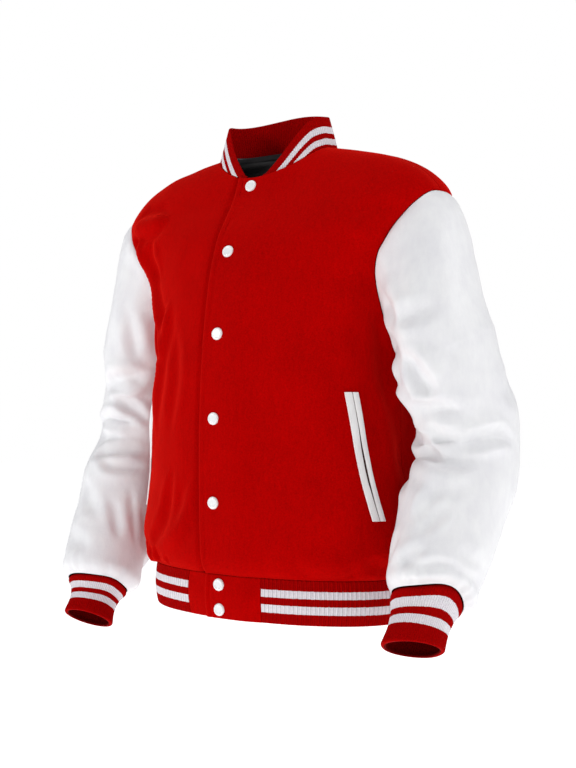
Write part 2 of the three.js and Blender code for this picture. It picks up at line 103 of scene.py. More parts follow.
# Large folds of the frame's sleeves: ring, degrees round, depth, along, round.
LARGE = {
    "left": [(-0.7, 150, -7, 0.45, 34), (0.5, 140, 6, 0.50, 30), (1.5, 120, -8, 0.42, 46),
             (2.3, 110, 6, 0.40, 50), (3.0, 96, -8, 0.40, 55), (3.9, 120, 5, 0.45, 50),
             (5.2, 60, 4, 0.60, 70)],
    "right": [(-0.5, 110, -6, 0.45, 40), (0.9, 100, -7, 0.45, 60), (1.8, 90, 6, 0.40, 50),
              (2.6, 100, -8, 0.40, 60), (3.6, 90, 5, 0.50, 60), (5.0, 300, 4, 0.60, 70)],
}
SNAPS = [("snap_1", -52), ("snap_2", -147), ("snap_3", -260), ("snap_4", -375), ("snap_5", -489)]
BAND_SNAPS = [("snap_6", -601), ("snap_7", -635)]
POCKET = dict(top_a=59, top_z=-339, end_a=68.4, end_z=-508, half=10.5, slit=1.7)


# ----------------------------------------------------------------- helpers
def smooth(v):
    v = np.clip(v, 0, 1)
    return v * v * (3 - 2 * v)


def unit(v):
    return v / np.maximum(np.linalg.norm(v, axis=-1, keepdims=True), 1e-9)


def column(table, c, t):
    arr = table[:, c]
    n = len(arr) - 1
    t = np.asarray(t, float)
    i = np.clip(np.floor(t).astype(int), 0, n - 1)
    f = t - i
    p1, p2 = arr[i], arr[i + 1]
    p0 = np.where(i > 0, arr[np.maximum(i - 1, 0)], 2 * p1 - p2)
    p3 = np.where(i < n - 1, arr[np.minimum(i + 2, n)], 2 * p2 - p1)
    m1, m2 = (p2 - p0) / 2, (p3 - p1) / 2
    f2, f3 = f * f, f * f * f
    return (2 * f3 - 3 * f2 + 1) * p1 + (f3 - 2 * f2 + f) * m1 + (-2 * f3 + 3 * f2) * p2 + (f3 - f2) * m2


def body_point(a, t):
    a, t = np.broadcast_arrays(np.asarray(a, float), np.asarray(t, float))
    c, s = np.cos(a * RAD), np.sin(a * RAD)
    n = 2 / column(BODY, NN, t)
    front = s < 0
    x = column(BODY, XW, t) * np.sign(c) * np.abs(c) ** n
    ys = column(BODY, YS, t)
    reach = np.where(front, column(BODY, YF, t), column(BODY, YB, t)) - ys
    y = ys + reach * np.abs(s) ** n
    w = s * s
    z = column(BODY, ZS, t) * (1 - w) + np.where(front, column(BODY, ZF, t), column(BODY, ZB, t)) * w
    return np.stack([x, y, z], -1)


def body_normal(a, t):
    h, k = 0.03, 0.5
    t0, t1 = np.clip(t - h, 0, T_NECK), np.clip(t + h, 0, T_NECK)
    du = body_point(a + k, t) - body_point(a - k, t)
    dv = body_point(a, t1) - body_point(a, t0)
    return unit(np.cross(du, dv))


def front_angle(x, t):
    w, n = column(BODY, XW, t), column(BODY, NN, t)
    a = -np.arccos(np.clip(np.abs(x) / w, 0, 1) ** (n / 2)) / RAD
    return np.where(x >= 0, a, -180 - a)


def arm_angle(t, opened):
    r = (np.asarray(t, float) - (T_UNDER + T_TIP) / 2) / ((T_TIP - T_UNDER) / 2)
    if opened == ARM_OPEN_FRONT:          # full up to the tip, slow in to the underarm
        shape = np.where(r > 0, np.clip(1 - np.clip(r, 0, 1) ** 3, 0, 1) ** 0.385, np.clip(1 - np.clip(-r, 0, 1) ** 1.2, 0, 1) ** 0.7)
    else:
        shape = np.sqrt(np.clip(1 - r * r, 0, 1))
    return np.where(np.abs(r) >= 1, 0, opened * shape)


def lap(x):
    return LAP_LIFT * (1 - smooth((x - OVERLAP - 4) / (LAP_FADE - OVERLAP)))


def waves(p, length, seed, count=14):
    """Soft uneven swell, about -1 to 1, of this wavelength in mm."""
    r = np.random.default_rng(seed)
    d = unit(r.normal(size=(count, 3))) * (2 * math.pi / (length * r.uniform(0.7, 1.5, (count, 1))))
    ph = r.uniform(0, 2 * math.pi, count)
    return np.sin(p @ d.T + ph).sum(-1) / math.sqrt(count) / 1.2


def bend(points, steps=36):
    """A smooth path through a few points."""
    p = np.asarray(points, float)
    t = np.linspace(0, len(p) - 1, steps)
    return np.stack([column(p, c, t) for c in range(3)], -1)


def fold(P, path, depth, width, ridge=0.35, fade=0.32, crisp=2.0):
    """Height of one fold over the points P: a trough (depth below 0) or ridge
    along a path, fading to its ends, with a low swell on each side."""
    flat = P.reshape(-1, 3)
    lo, hi = path.min(0) - 4 * width, path.max(0) + 4 * width
    near = np.nonzero(((flat > lo) & (flat < hi)).all(1))[0]
    out = np.zeros(len(flat))
    if len(near):
        q = flat[near]
        best, at = np.full(len(q), 1e9), np.zeros(len(q))
        for k in range(len(path)):
            d = ((q - path[k]) ** 2).sum(1)
            m = d < best
            best[m], at[m] = d[m], k / (len(path) - 1)
        taper = smooth(at / fade) * smooth((1 - at) / fade)
        d = np.sqrt(best) / (width * (0.55 + 0.45 * taper))
        out[near] = taper * (depth * np.exp(-d ** crisp) - depth * ridge * np.exp(-((d - 1.9) / 0.85) ** 2))
    return out.reshape(P.shape[:-1])


def grid_normals(P, wrap):
    if wrap:
        du = np.roll(P, -1, 1) - np.roll(P, 1, 1)
    else:
        du = np.gradient(P, axis=1)
    dv = np.gradient(P, axis=0)
    return unit(np.cross(du, dv))


def run(P, axis, wrap=False):
    """Length along the grid lines of one axis, from its start."""
    d = np.linalg.norm(np.diff(P, axis=axis), axis=-1)
    z = np.zeros_like(np.take(d, [0], axis=axis))
    return np.cumsum(np.concatenate([z, d], axis), axis=axis)


def edged(length, step, start, end):
    """Positions 0 to 1 along a length in mm, close together at the edges."""
    near = np.array([0, 0.2, 0.55, 1.0, 1.6, 2.5])
    first = near if start else near[:1]
    last = length - near[::-1] if end else np.array([length])
    n = max(2, int((last[0] - first[-1]) / step))
    mid = np.linspace(first[-1], last[0], n + 1)[1:-1]
    return np.concatenate([first, mid, last]) / length


MATS = {}


def shell(name, P, N, thick, mats, wrap=False, rise=0.0, sink=0.0, edges=None, uv=None, replaces=(), seam=True):
    """A closed wall: outer points P, outward normals N, thick inwards. rise and
    sink lift the outer and the inner face. edges: side -> (outer, inner) rounding
    radius. mats: outer and inner material."""
    rows, cols = P.shape[:2]
    rise = np.broadcast_to(np.asarray(rise, float), (rows, cols)).copy()
    sink = np.broadcast_to(np.asarray(sink, float), (rows, cols)).copy()
    lu, lv = (None if wrap else run(P, 1)), run(P, 0)
    dist = {"bottom": lv, "top": lv[-1:] - lv}
    if not wrap:
        dist["left"], dist["right"] = lu, lu[:, -1:] - lu
    for side, (ro, ri) in (edges or {}).items():
        for r, arr, sign in ((ro, rise, -1), (ri, sink, 1)):
            if r > 0:
                q = 1 - np.clip(dist[side] / r, 0, 1)
                arr += sign * r * (1 - np.sqrt(1 - q * q))
    outer = P + N * rise[..., None]
    inner = P + N * (sink - thick)[..., None]
    V = np.concatenate([outer.reshape(-1, 3), inner.reshape(-1, 3)]) * MM
    n = rows * cols
    i, j = np.meshgrid(np.arange(rows - 1), np.arange(cols if wrap else cols - 1), indexing="ij")
    j1 = (j + 1) % cols
    a, b, c, d = i * cols + j, i * cols + j1, (i + 1) * cols + j1, (i + 1) * cols + j
    q_out = np.stack([a, b, c, d], -1).reshape(-1, 4)
    q_in = np.stack([a, d, c, b], -1).reshape(-1, 4) + n
    jj = np.arange(cols if wrap else cols - 1)
    jn = (jj + 1) % cols
    top, rims = (rows - 1) * cols, []
    rims.append(np.stack([jj, jj + n, jn + n, jn], -1))
    rims.append(np.stack([top + jj, top + jn, top + jn + n, top + jj + n], -1))
    if not wrap:
        ii = np.arange(rows - 1) * cols
        rims.append(np.stack([ii, ii + cols, ii + cols + n, ii + n], -1))
        e = ii + cols - 1
        rims.append(np.stack([e, e + n, e + cols + n, e + cols], -1))
    rim = np.concatenate(rims)
    quads = np.concatenate([q_out, q_in, rim])
    x0, x1, x2, x3 = (V[quads[:, k]] for k in range(4))
    vol = (x0 * np.cross(x1, x2)).sum() + (x0 * np.cross(x2, x3)).sum()
    if vol < 0:
        quads = quads[:, ::-1]
    me = bpy.data.meshes.new(name)
    me.vertices.add(len(V)); me.vertices.foreach_set("co", V.ravel())
    me.loops.add(quads.size); me.loops.foreach_set("vertex_index", quads.ravel())
    me.polygons.add(len(quads)); me.polygons.foreach_set("loop_start", np.arange(0, quads.size, 4))
    mi = np.zeros(len(quads), np.int32)
    mi[len(q_out):len(q_out) + len(q_in)] = 1 if len(mats) > 1 else 0
    me.polygons.foreach_set("material_index", mi)
    me.polygons.foreach_set("use_smooth", np.ones(len(quads), bool))
    if uv is None:
        uu = np.linspace(0, 1, cols)[None, :] * np.ones((rows, 1)) if wrap else lu
        uv = (uu, lv)
    U = np.broadcast_to(uv[0], (rows, cols)).reshape(-1) * MM
    W = np.broadcast_to(uv[1], (rows, cols)).reshape(-1) * MM
    cell = np.stack([np.concatenate([U, U]), np.concatenate([W, W])], -1)[quads.ravel()]
    if wrap:      # the last column's far side lies one turn on
        span = float(np.ptp(U)) * cols / (cols - 1)
        x = cell[:, 0].reshape(-1, 4)
        x[(x.max(1) - x.min(1)) > span / 2] += np.where(x[(x.max(1) - x.min(1)) > span / 2] < span / 2 + U.min(), span, 0)
        cell[:, 0] = x.ravel()
    layer = me.uv_layers.new(name="UVMap")
    layer.data.foreach_set("uv", cell.astype(np.float32).ravel())
    me.validate(); me.update()
    for m in mats:
        me.materials.append(MATS[m])
    o = bpy.data.objects.new(name + "_cloth", me)
    bpy.context.scene.collection.objects.link(o)
    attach(o, "root")
    if replaces:
        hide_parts(*replaces)
    return o


# --------------------------------------------------------------- materials
class Nodes:
    """Short hand for making a material's nodes."""
    def __init__(self, name):
        m = bpy.data.materials.new(name)
        m.use_nodes = True
        self.m, self.t = m, m.node_tree
        self.b = self.t.nodes["Principled BSDF"]
        MATS[name] = m

    def new(self, kind, **sets):
        n = self.t.nodes.new(kind)
        for k, v in sets.items():
            if k in n.inputs.keys():
                n.inputs[k].default_value = v
            else:
                setattr(n, k, v)
        return n

    def link(self, a, b):
        self.t.links.new(a, b)

    def math(self, op, a, b=None, c=None):
        n = self.t.nodes.new("ShaderNodeMath"); n.operation = op
        for k, v in enumerate((a, b, c)):
            if v is None:
                continue
            if isinstance(v, (int, float)):
                n.inputs[k].default_value = v
            else:
                self.link(v, n.inputs[k])
        return n.outputs[0]

    def noise(self, vec, scale, detail=3.0, rough=0.55, stretch=None):
        if stretch:
            mp = self.new("ShaderNodeMapping")
            mp.inputs["Scale"].default_value = stretch
            self.link(vec, mp.inputs["Vector"]); vec = mp.outputs["Vector"]
        n = self.new("ShaderNodeTexNoise", Scale=scale, Detail=detail, Roughness=rough)
        self.link(vec, n.inputs["Vector"])
        return n.outputs["Fac"]

    def ramp(self, fac, stops):
        n = self.t.nodes.new("ShaderNodeValToRGB")
        e = n.color_ramp.elements
        e[0].position, e[0].color = stops[0][0], (*stops[0][1], 1)
        e[1].position, e[1].color = stops[-1][0], (*stops[-1][1], 1)
        for p, c in stops[1:-1]:
            x = e.new(p); x.color = (*c, 1)
        self.link(fac, n.inputs["Fac"])
        return n.outputs["Color"]

    def mix(self, fac, a, b, blend="MIX"):
        n = self.t.nodes.new("ShaderNodeMix"); n.data_type = "RGBA"; n.blend_type = blend
        for k, v in ((0, fac), (6, a), (7, b)):
            if isinstance(v, (int, float)):
                n.inputs[k].default_value = v
            elif isinstance(v, tuple):
                n.inputs[k].default_value = (*v, 1)
            else:
                self.link(v, n.inputs[k])
        return n.outputs[2]

    def bumps(self, *layers):
        """layers: (height, strength, distance in m)"""
        prev = None
        for h, s, d in layers:
            n = self.new("ShaderNodeBump", Strength=s, Distance=d)
            self.link(h, n.inputs["Height"])
            if prev is not None:
                self.link(prev, n.inputs["Normal"])
            prev = n.outputs["Normal"]
        self.link(prev, self.b.inputs["Normal"])

    def place(self):
        g = self.t.nodes.new("ShaderNodeTexCoord")
        return g.outputs["Object"]

    def uv(self):
        g = self.t.nodes.new("ShaderNodeUVMap"); g.uv_map = "UVMap"
        s = self.t.nodes.new("ShaderNodeSeparateXYZ")
        self.link(g.outputs["UV"], s.inputs[0])
        return s.outputs[0], s.outputs[1]


def wool(name, dark, mid, light):
    n = Nodes(name)
    p = n.place()
    fine, felt = n.noise(p, 1500, 4, 0.7), n.noise(p, 420, 5, 0.65)
    wide = n.noise(p, 14, 3, 0.5)
    streak = n.noise(p, 260, 3, 0.6, (1, 1, 0.25))
    t = n.math("ADD", n.math("MULTIPLY", felt, 0.55), n.math("MULTIPLY", streak, 0.25))
    t = n.math("ADD", t, n.math("MULTIPLY", wide, 0.2))
    n.link(n.ramp(t, [(0.34, dark), (0.5, mid), (0.68, light)]), n.b.inputs["Base Color"])
    n.b.inputs["Roughness"].default_value = 0.95
    n.b.inputs["Specular IOR Level"].default_value = 0.02
    n.b.inputs["Sheen Weight"].default_value = 1.0
    n.b.inputs["Sheen Roughness"].default_value = 0.4
    n.b.inputs["Sheen Tint"].default_value = (1.0, 0.02, 0.01, 1)
    n.bumps((wide, 0.25, 0.004), (felt, 0.45, 0.0008), (fine, 0.5, 0.0003))
    return n


def rib_material(name, bands, pitch, inner=False):
    """Red rib knit; bands are (from, to) mm above v = 0 where it is white. The grooves between the ribs get painted
    shade in the colour, and the darker copy's red is painted shade for the insides.
    """
    n = Nodes(name)
    p = n.place()
    u, v = n.uv()
    phase = n.math("MULTIPLY", u, 1000.0 / pitch)
    across = n.math("ABSOLUTE", n.math("SUBTRACT", n.math("FRACT", phase), 0.5))
    loop = n.math("ADD", n.math("MULTIPLY", v, 1000.0 / 1.5), n.math("MULTIPLY", across, 1.5))
    knit = n.math("MULTIPLY_ADD", n.math("SINE", n.math("MULTIPLY", loop, 2 * math.pi)), 0.5, 0.5)
    fuzz = n.noise(p, 1400, 3, 0.7)
    wob = n.math("MULTIPLY", n.math("SUBTRACT", n.noise(p, 220, 2), 0.5), 0.0012)
    edge = n.math("ADD", n.math("ADD", v, wob), n.math("MULTIPLY", across, 0.0006))
    white = None
    for lo, hi in bands:
        a = n.math("GREATER_THAN", edge, lo * MM)
        b = n.math("LESS_THAN", edge, hi * MM)
        w = n.math("MULTIPLY", a, b)
        white = w if white is None else n.math("MAXIMUM", white, w)
    # painted shade: the colour darkens towards each groove between the ribs, down to 0.55
    groove = n.ramp(n.math("MULTIPLY", across, 2.0), [(0.0, (1, 1, 1)), (0.7, (0.93, 0.93, 0.93)), (1.0, (0.55, 0.55, 0.55))])
    # the darker red of the inside copy is painted shade, not a different yarn
    red = n.ramp(n.noise(p, 500, 3), [(0.3, (0.10, 0.0, 0.0)), (0.7, (0.16, 0.0, 0.0))] if inner else
                 [(0.3, (0.33, 0.0, 0.0)), (0.7, (0.45, 0.0, 0.0))])
    col = red
    if white is not None:
        pale = n.ramp(n.noise(p, 500, 3), [(0.3, (0.80, 0.75, 0.80)), (0.7, (0.93, 0.90, 0.93))])
        col = n.mix(white, red, pale)
    n.link(n.mix(1.0, col, groove, "MULTIPLY"), n.b.inputs["Base Color"])
    n.b.inputs["Roughness"].default_value = 0.92
    n.b.inputs["Specular IOR Level"].default_value = 0.03
    n.bumps((knit, 0.55, 0.0006), (fuzz, 0.35, 0.0003))
    return n


def leather(name, a, b, grain=1.0):
    n = Nodes(name)
    p = n.place()
    vor = n.new("ShaderNodeTexVoronoi", Scale=620.0)
    vor.feature = "DISTANCE_TO_EDGE"
    warp = n.t.nodes.new("ShaderNodeMix"); warp.data_type = "VECTOR"
    nz = n.new("ShaderNodeTexNoise", Scale=180.0, Detail=3.0)
    n.link(p, nz.inputs["Vector"])
    sc = n.t.nodes.new("ShaderNodeVectorMath"); sc.operation = "SCALE"; sc.inputs["Scale"].default_value = 0.006
    n.link(nz.outputs["Color"], sc.inputs[0])
    ad = n.t.nodes.new("ShaderNodeVectorMath"); ad.operation = "ADD"
    n.link(p, ad.inputs[0]); n.link(sc.outputs[0], ad.inputs[1])
    n.t.nodes.remove(warp)
    n.link(ad.outputs[0], vor.inputs["Vector"])
    cells = n.math("SMOOTH_MIN", vor.outputs["Distance"], 0.22, 0.1)
    wide, crease = n.noise(p, 22, 4, 0.55), n.noise(p, 95, 4, 0.6, (1, 1, 0.35))
    tone = n.math("ADD", n.math("MULTIPLY", wide, 0.6), n.math("MULTIPLY", crease, 0.4))
    n.link(n.ramp(tone, [(0.32, a), (0.62, b)]), n.b.inputs["Base Color"])
    r = n.math("MULTIPLY_ADD", n.noise(p, 60, 3), 0.18, 0.38)
    n.link(r, n.b.inputs["Roughness"])
    n.b.inputs["Specular IOR Level"].default_value = 0.42
    n.b.inputs["Sheen Weight"].default_value = 0.05
    n.bumps((wide, 0.35, 0.003), (crease, 0.28, 0.0012), (cells, 0.35 * grain, 0.0008))
    return n


wool("wool_red", (0.31, 0.0, 0.0), (0.405, 0.0, 0.0), (0.49, 0.0, 0.0))
# white bands of each rib, in mm from the seam of the piece to the body or sleeve
rib_material("rib_band", [(14, 24), (34, 45)], BAND_RIB)
rib_material("rib_cuff", [(11, 21), (28.5, 38.5)], FINE_RIB)
rib_material("rib_collar", [(15.8, 25.6), (33.6, 42.4)], FINE_RIB)
rib_material("rib_plain", [], FINE_RIB)
# a darker copy of the rib knit: its red is painted shade for the insides of the cuffs and sleeves
rib_material("rib_painted_shade", [], FINE_RIB, True)
leather("leather_white", (0.765, 0.76, 0.785), (0.85, 0.85, 0.857))
leather("leather_welt", (0.82, 0.80, 0.80), (0.90, 0.89, 0.88), 0.6)

n = Nodes("lining_black")
p = n.place()
n.link(n.ramp(n.noise(p, 300, 3), [(0.3, (0.004, 0.004, 0.005)), (0.7, (0.012, 0.012, 0.014))]), n.b.inputs["Base Color"])
n.b.inputs["Roughness"].default_value = 0.42
n.b.inputs["Anisotropic"].default_value = 0.4
n.bumps((n.noise(p, 900, 2, 0.5, (1, 1, 0.2)), 0.3, 0.0004), (n.noise(p, 30, 3), 0.3, 0.003))

# near-black colour for the pocket's mouth: painted shade of the opening between the welts
n = Nodes("pocket_cloth")
p = n.place()
n.link(n.ramp(n.noise(p, 800, 3), [(0.3, (0.015, 0.001, 0.001)), (0.7, (0.05, 0.002, 0.002))]), n.b.inputs["Base Color"])
n.b.inputs["Roughness"].default_value = 0.9
n.bumps((n.noise(p, 1200, 3), 0.5, 0.0004))

n = Nodes("snap_white")
p = n.place()
n.link(n.ramp(n.noise(p, 120, 3), [(0.3, (0.84, 0.86, 0.86)), (0.7, (0.90, 0.91, 0.91))]), n.b.inputs["Base Color"])
n.b.inputs["Roughness"].default_value = 0.22
n.b.inputs["Coat Weight"].default_value = 0.4
n.b.inputs["Coat Roughness"].default_value = 0.15
n.bumps((n.noise(p, 90, 3), 0.12, 0.0006))

for nm, lo, hi in (("thread_red", (0.30, 0.0, 0.0), (0.40, 0.0, 0.0)), ("thread_white", (0.78, 0.77, 0.77), (0.9, 0.9, 0.9))):
    n = Nodes(nm)
    p = n.place()
    n.link(n.ramp(n.noise(p, 1800, 2), [(0.3, lo), (0.7, hi)]), n.b.inputs["Base Color"])
    n.b.inputs["Roughness"].default_value = 0.9
    n.b.inputs["Specular IOR Level"].default_value = 0.05
    n.bumps((n.noise(p, 3000, 2), 0.4, 0.0002))


# ---------------------------------------------------------------- the body
def rows_for(open_, step=3.4):
    """Row positions hem to neck, evenly spaced on the cloth."""
    t = np.linspace(0, T_NECK, 5601)
    mid = body_point(np.full_like(t, 45 if open_ == ARM_OPEN_BACK else -45), t)
    edge = body_point(np.where(open_ == ARM_OPEN_BACK, 1, -1) * arm_angle(t, open_), t)
    d = np.maximum(np.linalg.norm(np.diff(mid, axis=0), axis=1), np.linalg.norm(np.diff(edge, axis=0), axis=1))
    L = np.concatenate([[0], np.cumsum(d)])
    pos = edged(L[-1], step, True, True) * L[-1]
    marks = [np.interp(m, t, L) for m in (T_UNDER, T_TIP)]
    for m in marks:                       # a row exactly at each end of the armhole
        pos[np.argmin(np.abs(pos - m))] = m
    return np.interp(pos, L, t)


def torso_swell(P):
    """The cloth's own unevenness, and its slack folds."""
    h = 1.1 * waves(P, 150, 3) + 0.45 * waves(P, 60, 4)
    low = np.clip(1 - (P[..., 2] - BAND_TOP) / 70, 0, 1) * smooth((P[..., 2] - BAND_TOP) / 14)
    ang = np.arctan2(P[..., 1] - 12, P[..., 0])
    g = np.sin(ang * 21 + 1.1 * np.sin(ang * 5)) * (0.6 + 0.4 * np.sin(ang * 7 + 1))
    return h + 1.5 * low * g


def at_body(points):
    """Points of the body's surface from (degrees, row) pairs."""
    q = np.array(points, float)
    return body_point(q[:, 0], q[:, 1])


# Slack folds of the body: degrees and row of three points, depth, width.
BODY_FOLDS = [
    # the wearer's right front
    ([(-148, 9.3), (-131, 9.4), (-117, 9.6)], 5.5, 12),
    ([(-145, 8.9), (-152, 8.0), (-155, 7.2)], -6.5, 10),
    ([(-139, 8.8), (-149, 7.6), (-138, 6.0), (-129, 5.1)], 4.5, 10),
    ([(-130, 8.5), (-137, 7.6), (-133, 6.6)], -3.0, 9),
    ([(-152, 6.7), (-143, 5.6), (-128, 4.8)], -5.0, 9),
    ([(-121, 6.3), (-127, 5.5), (-135, 4.5), (-132, 3.5)], 3.6, 12),
    ([(-150, 5.0), (-146, 4.0), (-148, 3.0)], -4.0, 11),
    ([(-116, 5.6), (-114, 4.6), (-117, 3.6)], -2.0, 12),
    ([(-98, 3.1), (-104, 2.4), (-123, 1.3)], 3.4, 12),
    ([(-112, 3.2), (-119, 2.3), (-136, 1.5)], -2.8, 10),
    ([(-127, 1.7), (-129, 1.1), (-129, 0.5)], -2.4, 5),
    ([(-134, 1.6), (-137, 1.0), (-136, 0.4)], -2.8, 6),
    ([(-143, 1.8), (-146, 1.1), (-147, 0.4)], -2.4, 6),
    ([(-118, 1.2), (-120, 0.8), (-121, 0.3)], -1.6, 5),
    ([(-166, 0.62), (-146, 0.52), (-128, 0.60)], 3.6, 13),
    # the wearer's left front
    ([(-24, 8.6), (-36, 8.1), (-50, 8.2)], 3.0, 16),
    ([(-22, 7.2), (-33, 6.6), (-46, 6.9)], -2.2, 14),
    ([(-17, 6.4), (-12, 5.2), (-10, 4.0)], -5.0, 14),
    ([(-10, 4.8), (-4, 3.8), (-3, 2.8)], -4.0, 12),
    ([(-34, 5.6), (-28, 4.4), (-30, 3.4)], 2.0, 18),
    ([(-60, 1.9), (-48, 1.4), (-36, 1.5)], 1.8, 16),
    ([(-30, 1.9), (-22, 1.3), (-10, 1.5)], -3.0, 11),
    ([(-16, 1.2), (-18, 0.8), (-18, 0.3)], -1.8, 6),
    ([(-33, 1.1), (-34, 0.7), (-34, 0.3)], -1.3, 5),
    # under the arms and the back
    ([(2, 4.9), (4, 3.8), (1, 2.6)], -4.0, 13),
    ([(178, 4.9), (176, 3.7), (179, 2.7)], -4.0, 13),
    ([(24, 7.8), (34, 7.2), (50, 7.4)], 4.0, 15),
    ([(156, 7.8), (146, 7.1), (130, 7.4)], 4.2, 15),
    ([(27, 6.9), (42, 6.3), (60, 6.6)], -3.4, 12),
    ([(153, 6.8), (140, 6.2), (122, 6.7)], -3.0, 12),
    ([(20, 5.9), (26, 4.9), (24, 3.7)], -4.5, 14),
    ([(161, 6.0), (154, 5.0), (157, 3.8)], -4.5, 14),
    ([(13, 4.6), (22, 4.0), (44, 3.9)], -3.4, 12),
    ([(167, 4.5), (156, 3.9), (138, 3.7)], -3.4, 12),
    ([(34, 3.4), (47, 2.9), (62, 3.1)], 3.0, 14),
    ([(58, 2.6), (75, 2.0), (97, 1.9)], 2.8, 15),
    ([(122, 2.4), (108, 1.8), (92, 2.2)], -2.4, 13),
    ([(40, 1.9), (52, 1.4), (68, 1.3)], -2.8, 10),
    ([(146, 2.1), (134, 1.5), (118, 1.4)], -2.6, 11),
    ([(84, 8.9), (97, 8.3), (111, 8.8)], -1.6, 17),
    ([(28, 1.1), (29, 0.7), (29, 0.3)], -1.8, 6),
    ([(63, 1.0), (64, 0.6), (63, 0.3)], -1.4, 6),
    ([(101, 1.1), (102, 0.7), (102, 0.3)], -1.7, 6),
    ([(139, 1.0), (140, 0.6), (141, 0.3)], -1.5, 6),
]


def body_relief(P, mirrored=False):
    Q = P * np.array([-1, 1, 1]) if mirrored else P
    h = torso_swell(Q)
    for pts, depth, width in BODY_FOLDS:
        path = bend(at_body(pts))
        h += fold(Q, path, 1.8 * depth, width)
    return np.where(h < 0, -12 * np.tanh(-h / 12), 11 * np.tanh(h / 11))


def snap_place(z):
    lo, hi = 0.0, float(T_NECK)
    for _ in range(40):
        m = (lo + hi) / 2
        if body_point(-90.0, m)[2] < z:
            lo = m
        else:
            hi = m
    nrm = body_normal(np.array(-90.0), np.array(lo))
    return body_point(-90.0, lo) + nrm * lap(0.0), nrm


SNAP_AT = {}
for nm, z in SNAPS:
    SNAP_AT[nm] = snap_place(z)


def dimples(P):
    h = np.zeros(P.shape[:-1])
    for p, _ in SNAP_AT.values():
        d = np.linalg.norm(P - p, axis=-1)
        h -= 0.9 * np.exp(-(d / 12) ** 2)
    return h


def front_panel(over):
    T = rows_for(ARM_OPEN_FRONT)
    edge = front_angle(np.full_like(T, -OVERLAP), T)
    side = -arm_angle(T, ARM_OPEN_FRONT)
    U = edged(300, 3.4, True, True)
    A = edge[:, None] + (side - edge)[:, None] * U[None]
    TT = T[:, None] + 0 * A
    P, N = body_point(A, TT), body_normal(A, TT)
    if over:
        P = P + unit(N * np.array([1, 1, 0])) * lap(P[..., 0])[..., None]
    else:
        P, N = P * np.array([-1, 1, 1]), N * np.array([-1, 1, 1])
    return T, P, N


def pull_in(P, sides, gap=SEAM / 2, wrap=False):
    Q = P.copy()
    if "bottom" in sides:
        Q[0] += unit(P[1] - P[0]) * gap
    if "top" in sides:
        Q[-1] += unit(P[-2] - P[-1]) * gap
    if not wrap:
        if "left" in sides:
            Q[:, 0] += unit(P[:, 1] - P[:, 0]) * gap
        if "right" in sides:
            Q[:, -1] += unit(P[:, -2] - P[:, -1]) * gap
    return Q


def OPENING(off):
    """Roll and stitched groove of the edge, off mm from it."""
    return 1.2 * np.exp(-((off - 4.6) / 3.0) ** 2) - 0.9 * np.exp(-((off - 9.4) / 1.8) ** 2) + 0.3 * np.exp(-((off - 13) / 3.0) ** 2)


def slouch(P, share=1.0):
    """The wearer's right shoulder stands out a little further over its sleeve."""
    d = 7.5 * np.exp(-((P[..., 2] + 98) / 46) ** 2) * smooth((-P[..., 0] - 150) / 105)
    e = 10.0 * np.exp(-((P[..., 2] + 132) / 40) ** 2) * smooth((-P[..., 0] - 150) / 90) * share
    return P - np.stack([d + 0.8 * e, 0.6 * e, 0 * d], -1)


def sewn(T, dist):
    """0 on the armhole's edge, 1 a little way from it; below the arm it is 1."""
    return 1 - smooth((T - 4.3) / 0.7) * (1 - smooth(dist / 16))


def ends(P):
    """0 on the hem and the neck line, 1 a little way from them."""
    up = run(P, 0)
    return smooth(up / 9) * smooth((up[-1:] - up) / 12)


SEAM_EDGE = (1.2, 0.2)
FREE_EDGE = (1.1, 1.1)
for side, over in (("left", True), ("right", False)):
    T, P, N = front_panel(over)
    P = pull_in(P, ("bottom", "top", "right"))
    off = run(P, 1)
    rise = body_relief(P) * sewn(T[:, None], off[:, -1:] - off) * ends(P)
    if over:
        rise = rise * smooth((np.abs(P[..., 0]) - 22) / 45)
        sink = rise
        off = run(P, 1)                       # the stitched line along the opening
        rise = rise + dimples(P) + OPENING(off)
    else:
        rise = rise * smooth((np.abs(P[..., 0]) - 22) / 45)
        # it dips along the edge that lies on it
        rise = rise - 3.6 * np.exp(-((P[..., 0] + OVERLAP + 4.4) / 4.4) ** 2)
        sink = rise
    P = slouch(P)
    shell(side + "_front", P, N, WOOL, ("wool_red", "lining_black"), rise=rise, sink=sink,
          edges={"left": FREE_EDGE, "right": SEAM_EDGE, "bottom": SEAM_EDGE, "top": SEAM_EDGE},
          replaces=(side + "_front",))

T = rows_for(ARM_OPEN_BACK, 3.8)
a0 = arm_angle(T, ARM_OPEN_BACK)
U = edged(560, 4.0, True, True)
A = a0[:, None] + (180 - 2 * a0)[:, None] * U[None]
TT = T[:, None] + 0 * A
P, N = body_point(A, TT), body_normal(A, TT)
P = pull_in(P, ("bottom", "top", "left", "right"))
off = run(P, 1)
rise = body_relief(P) * sewn(T[:, None], np.minimum(off, off[:, -1:] - off)) * ends(P)
P = slouch(P)
shell("back", P, N, WOOL, ("wool_red", "lining_black"), rise=rise, sink=rise,
      edges={k: SEAM_EDGE for k in ("left", "right", "bottom", "top")},
      replaces=("back",))


# ------------------------------------------------------------ the waistband
def band_point(a, v, out=0.0):
    p = body_point(a, np.zeros_like(a))
    flat = p[..., :2] - np.array([0, 12.0])
    r = np.linalg.norm(flat, axis=-1)
    grow = 1 + (3 * np.sin(math.pi * np.clip(v, 0, 1)) - 2 * v) / r
    flat = flat * (grow + out / r)[..., None]
    return np.stack([flat[..., 0], flat[..., 1] + 12, BAND_TOP - BAND_HEIGHT * v], -1)


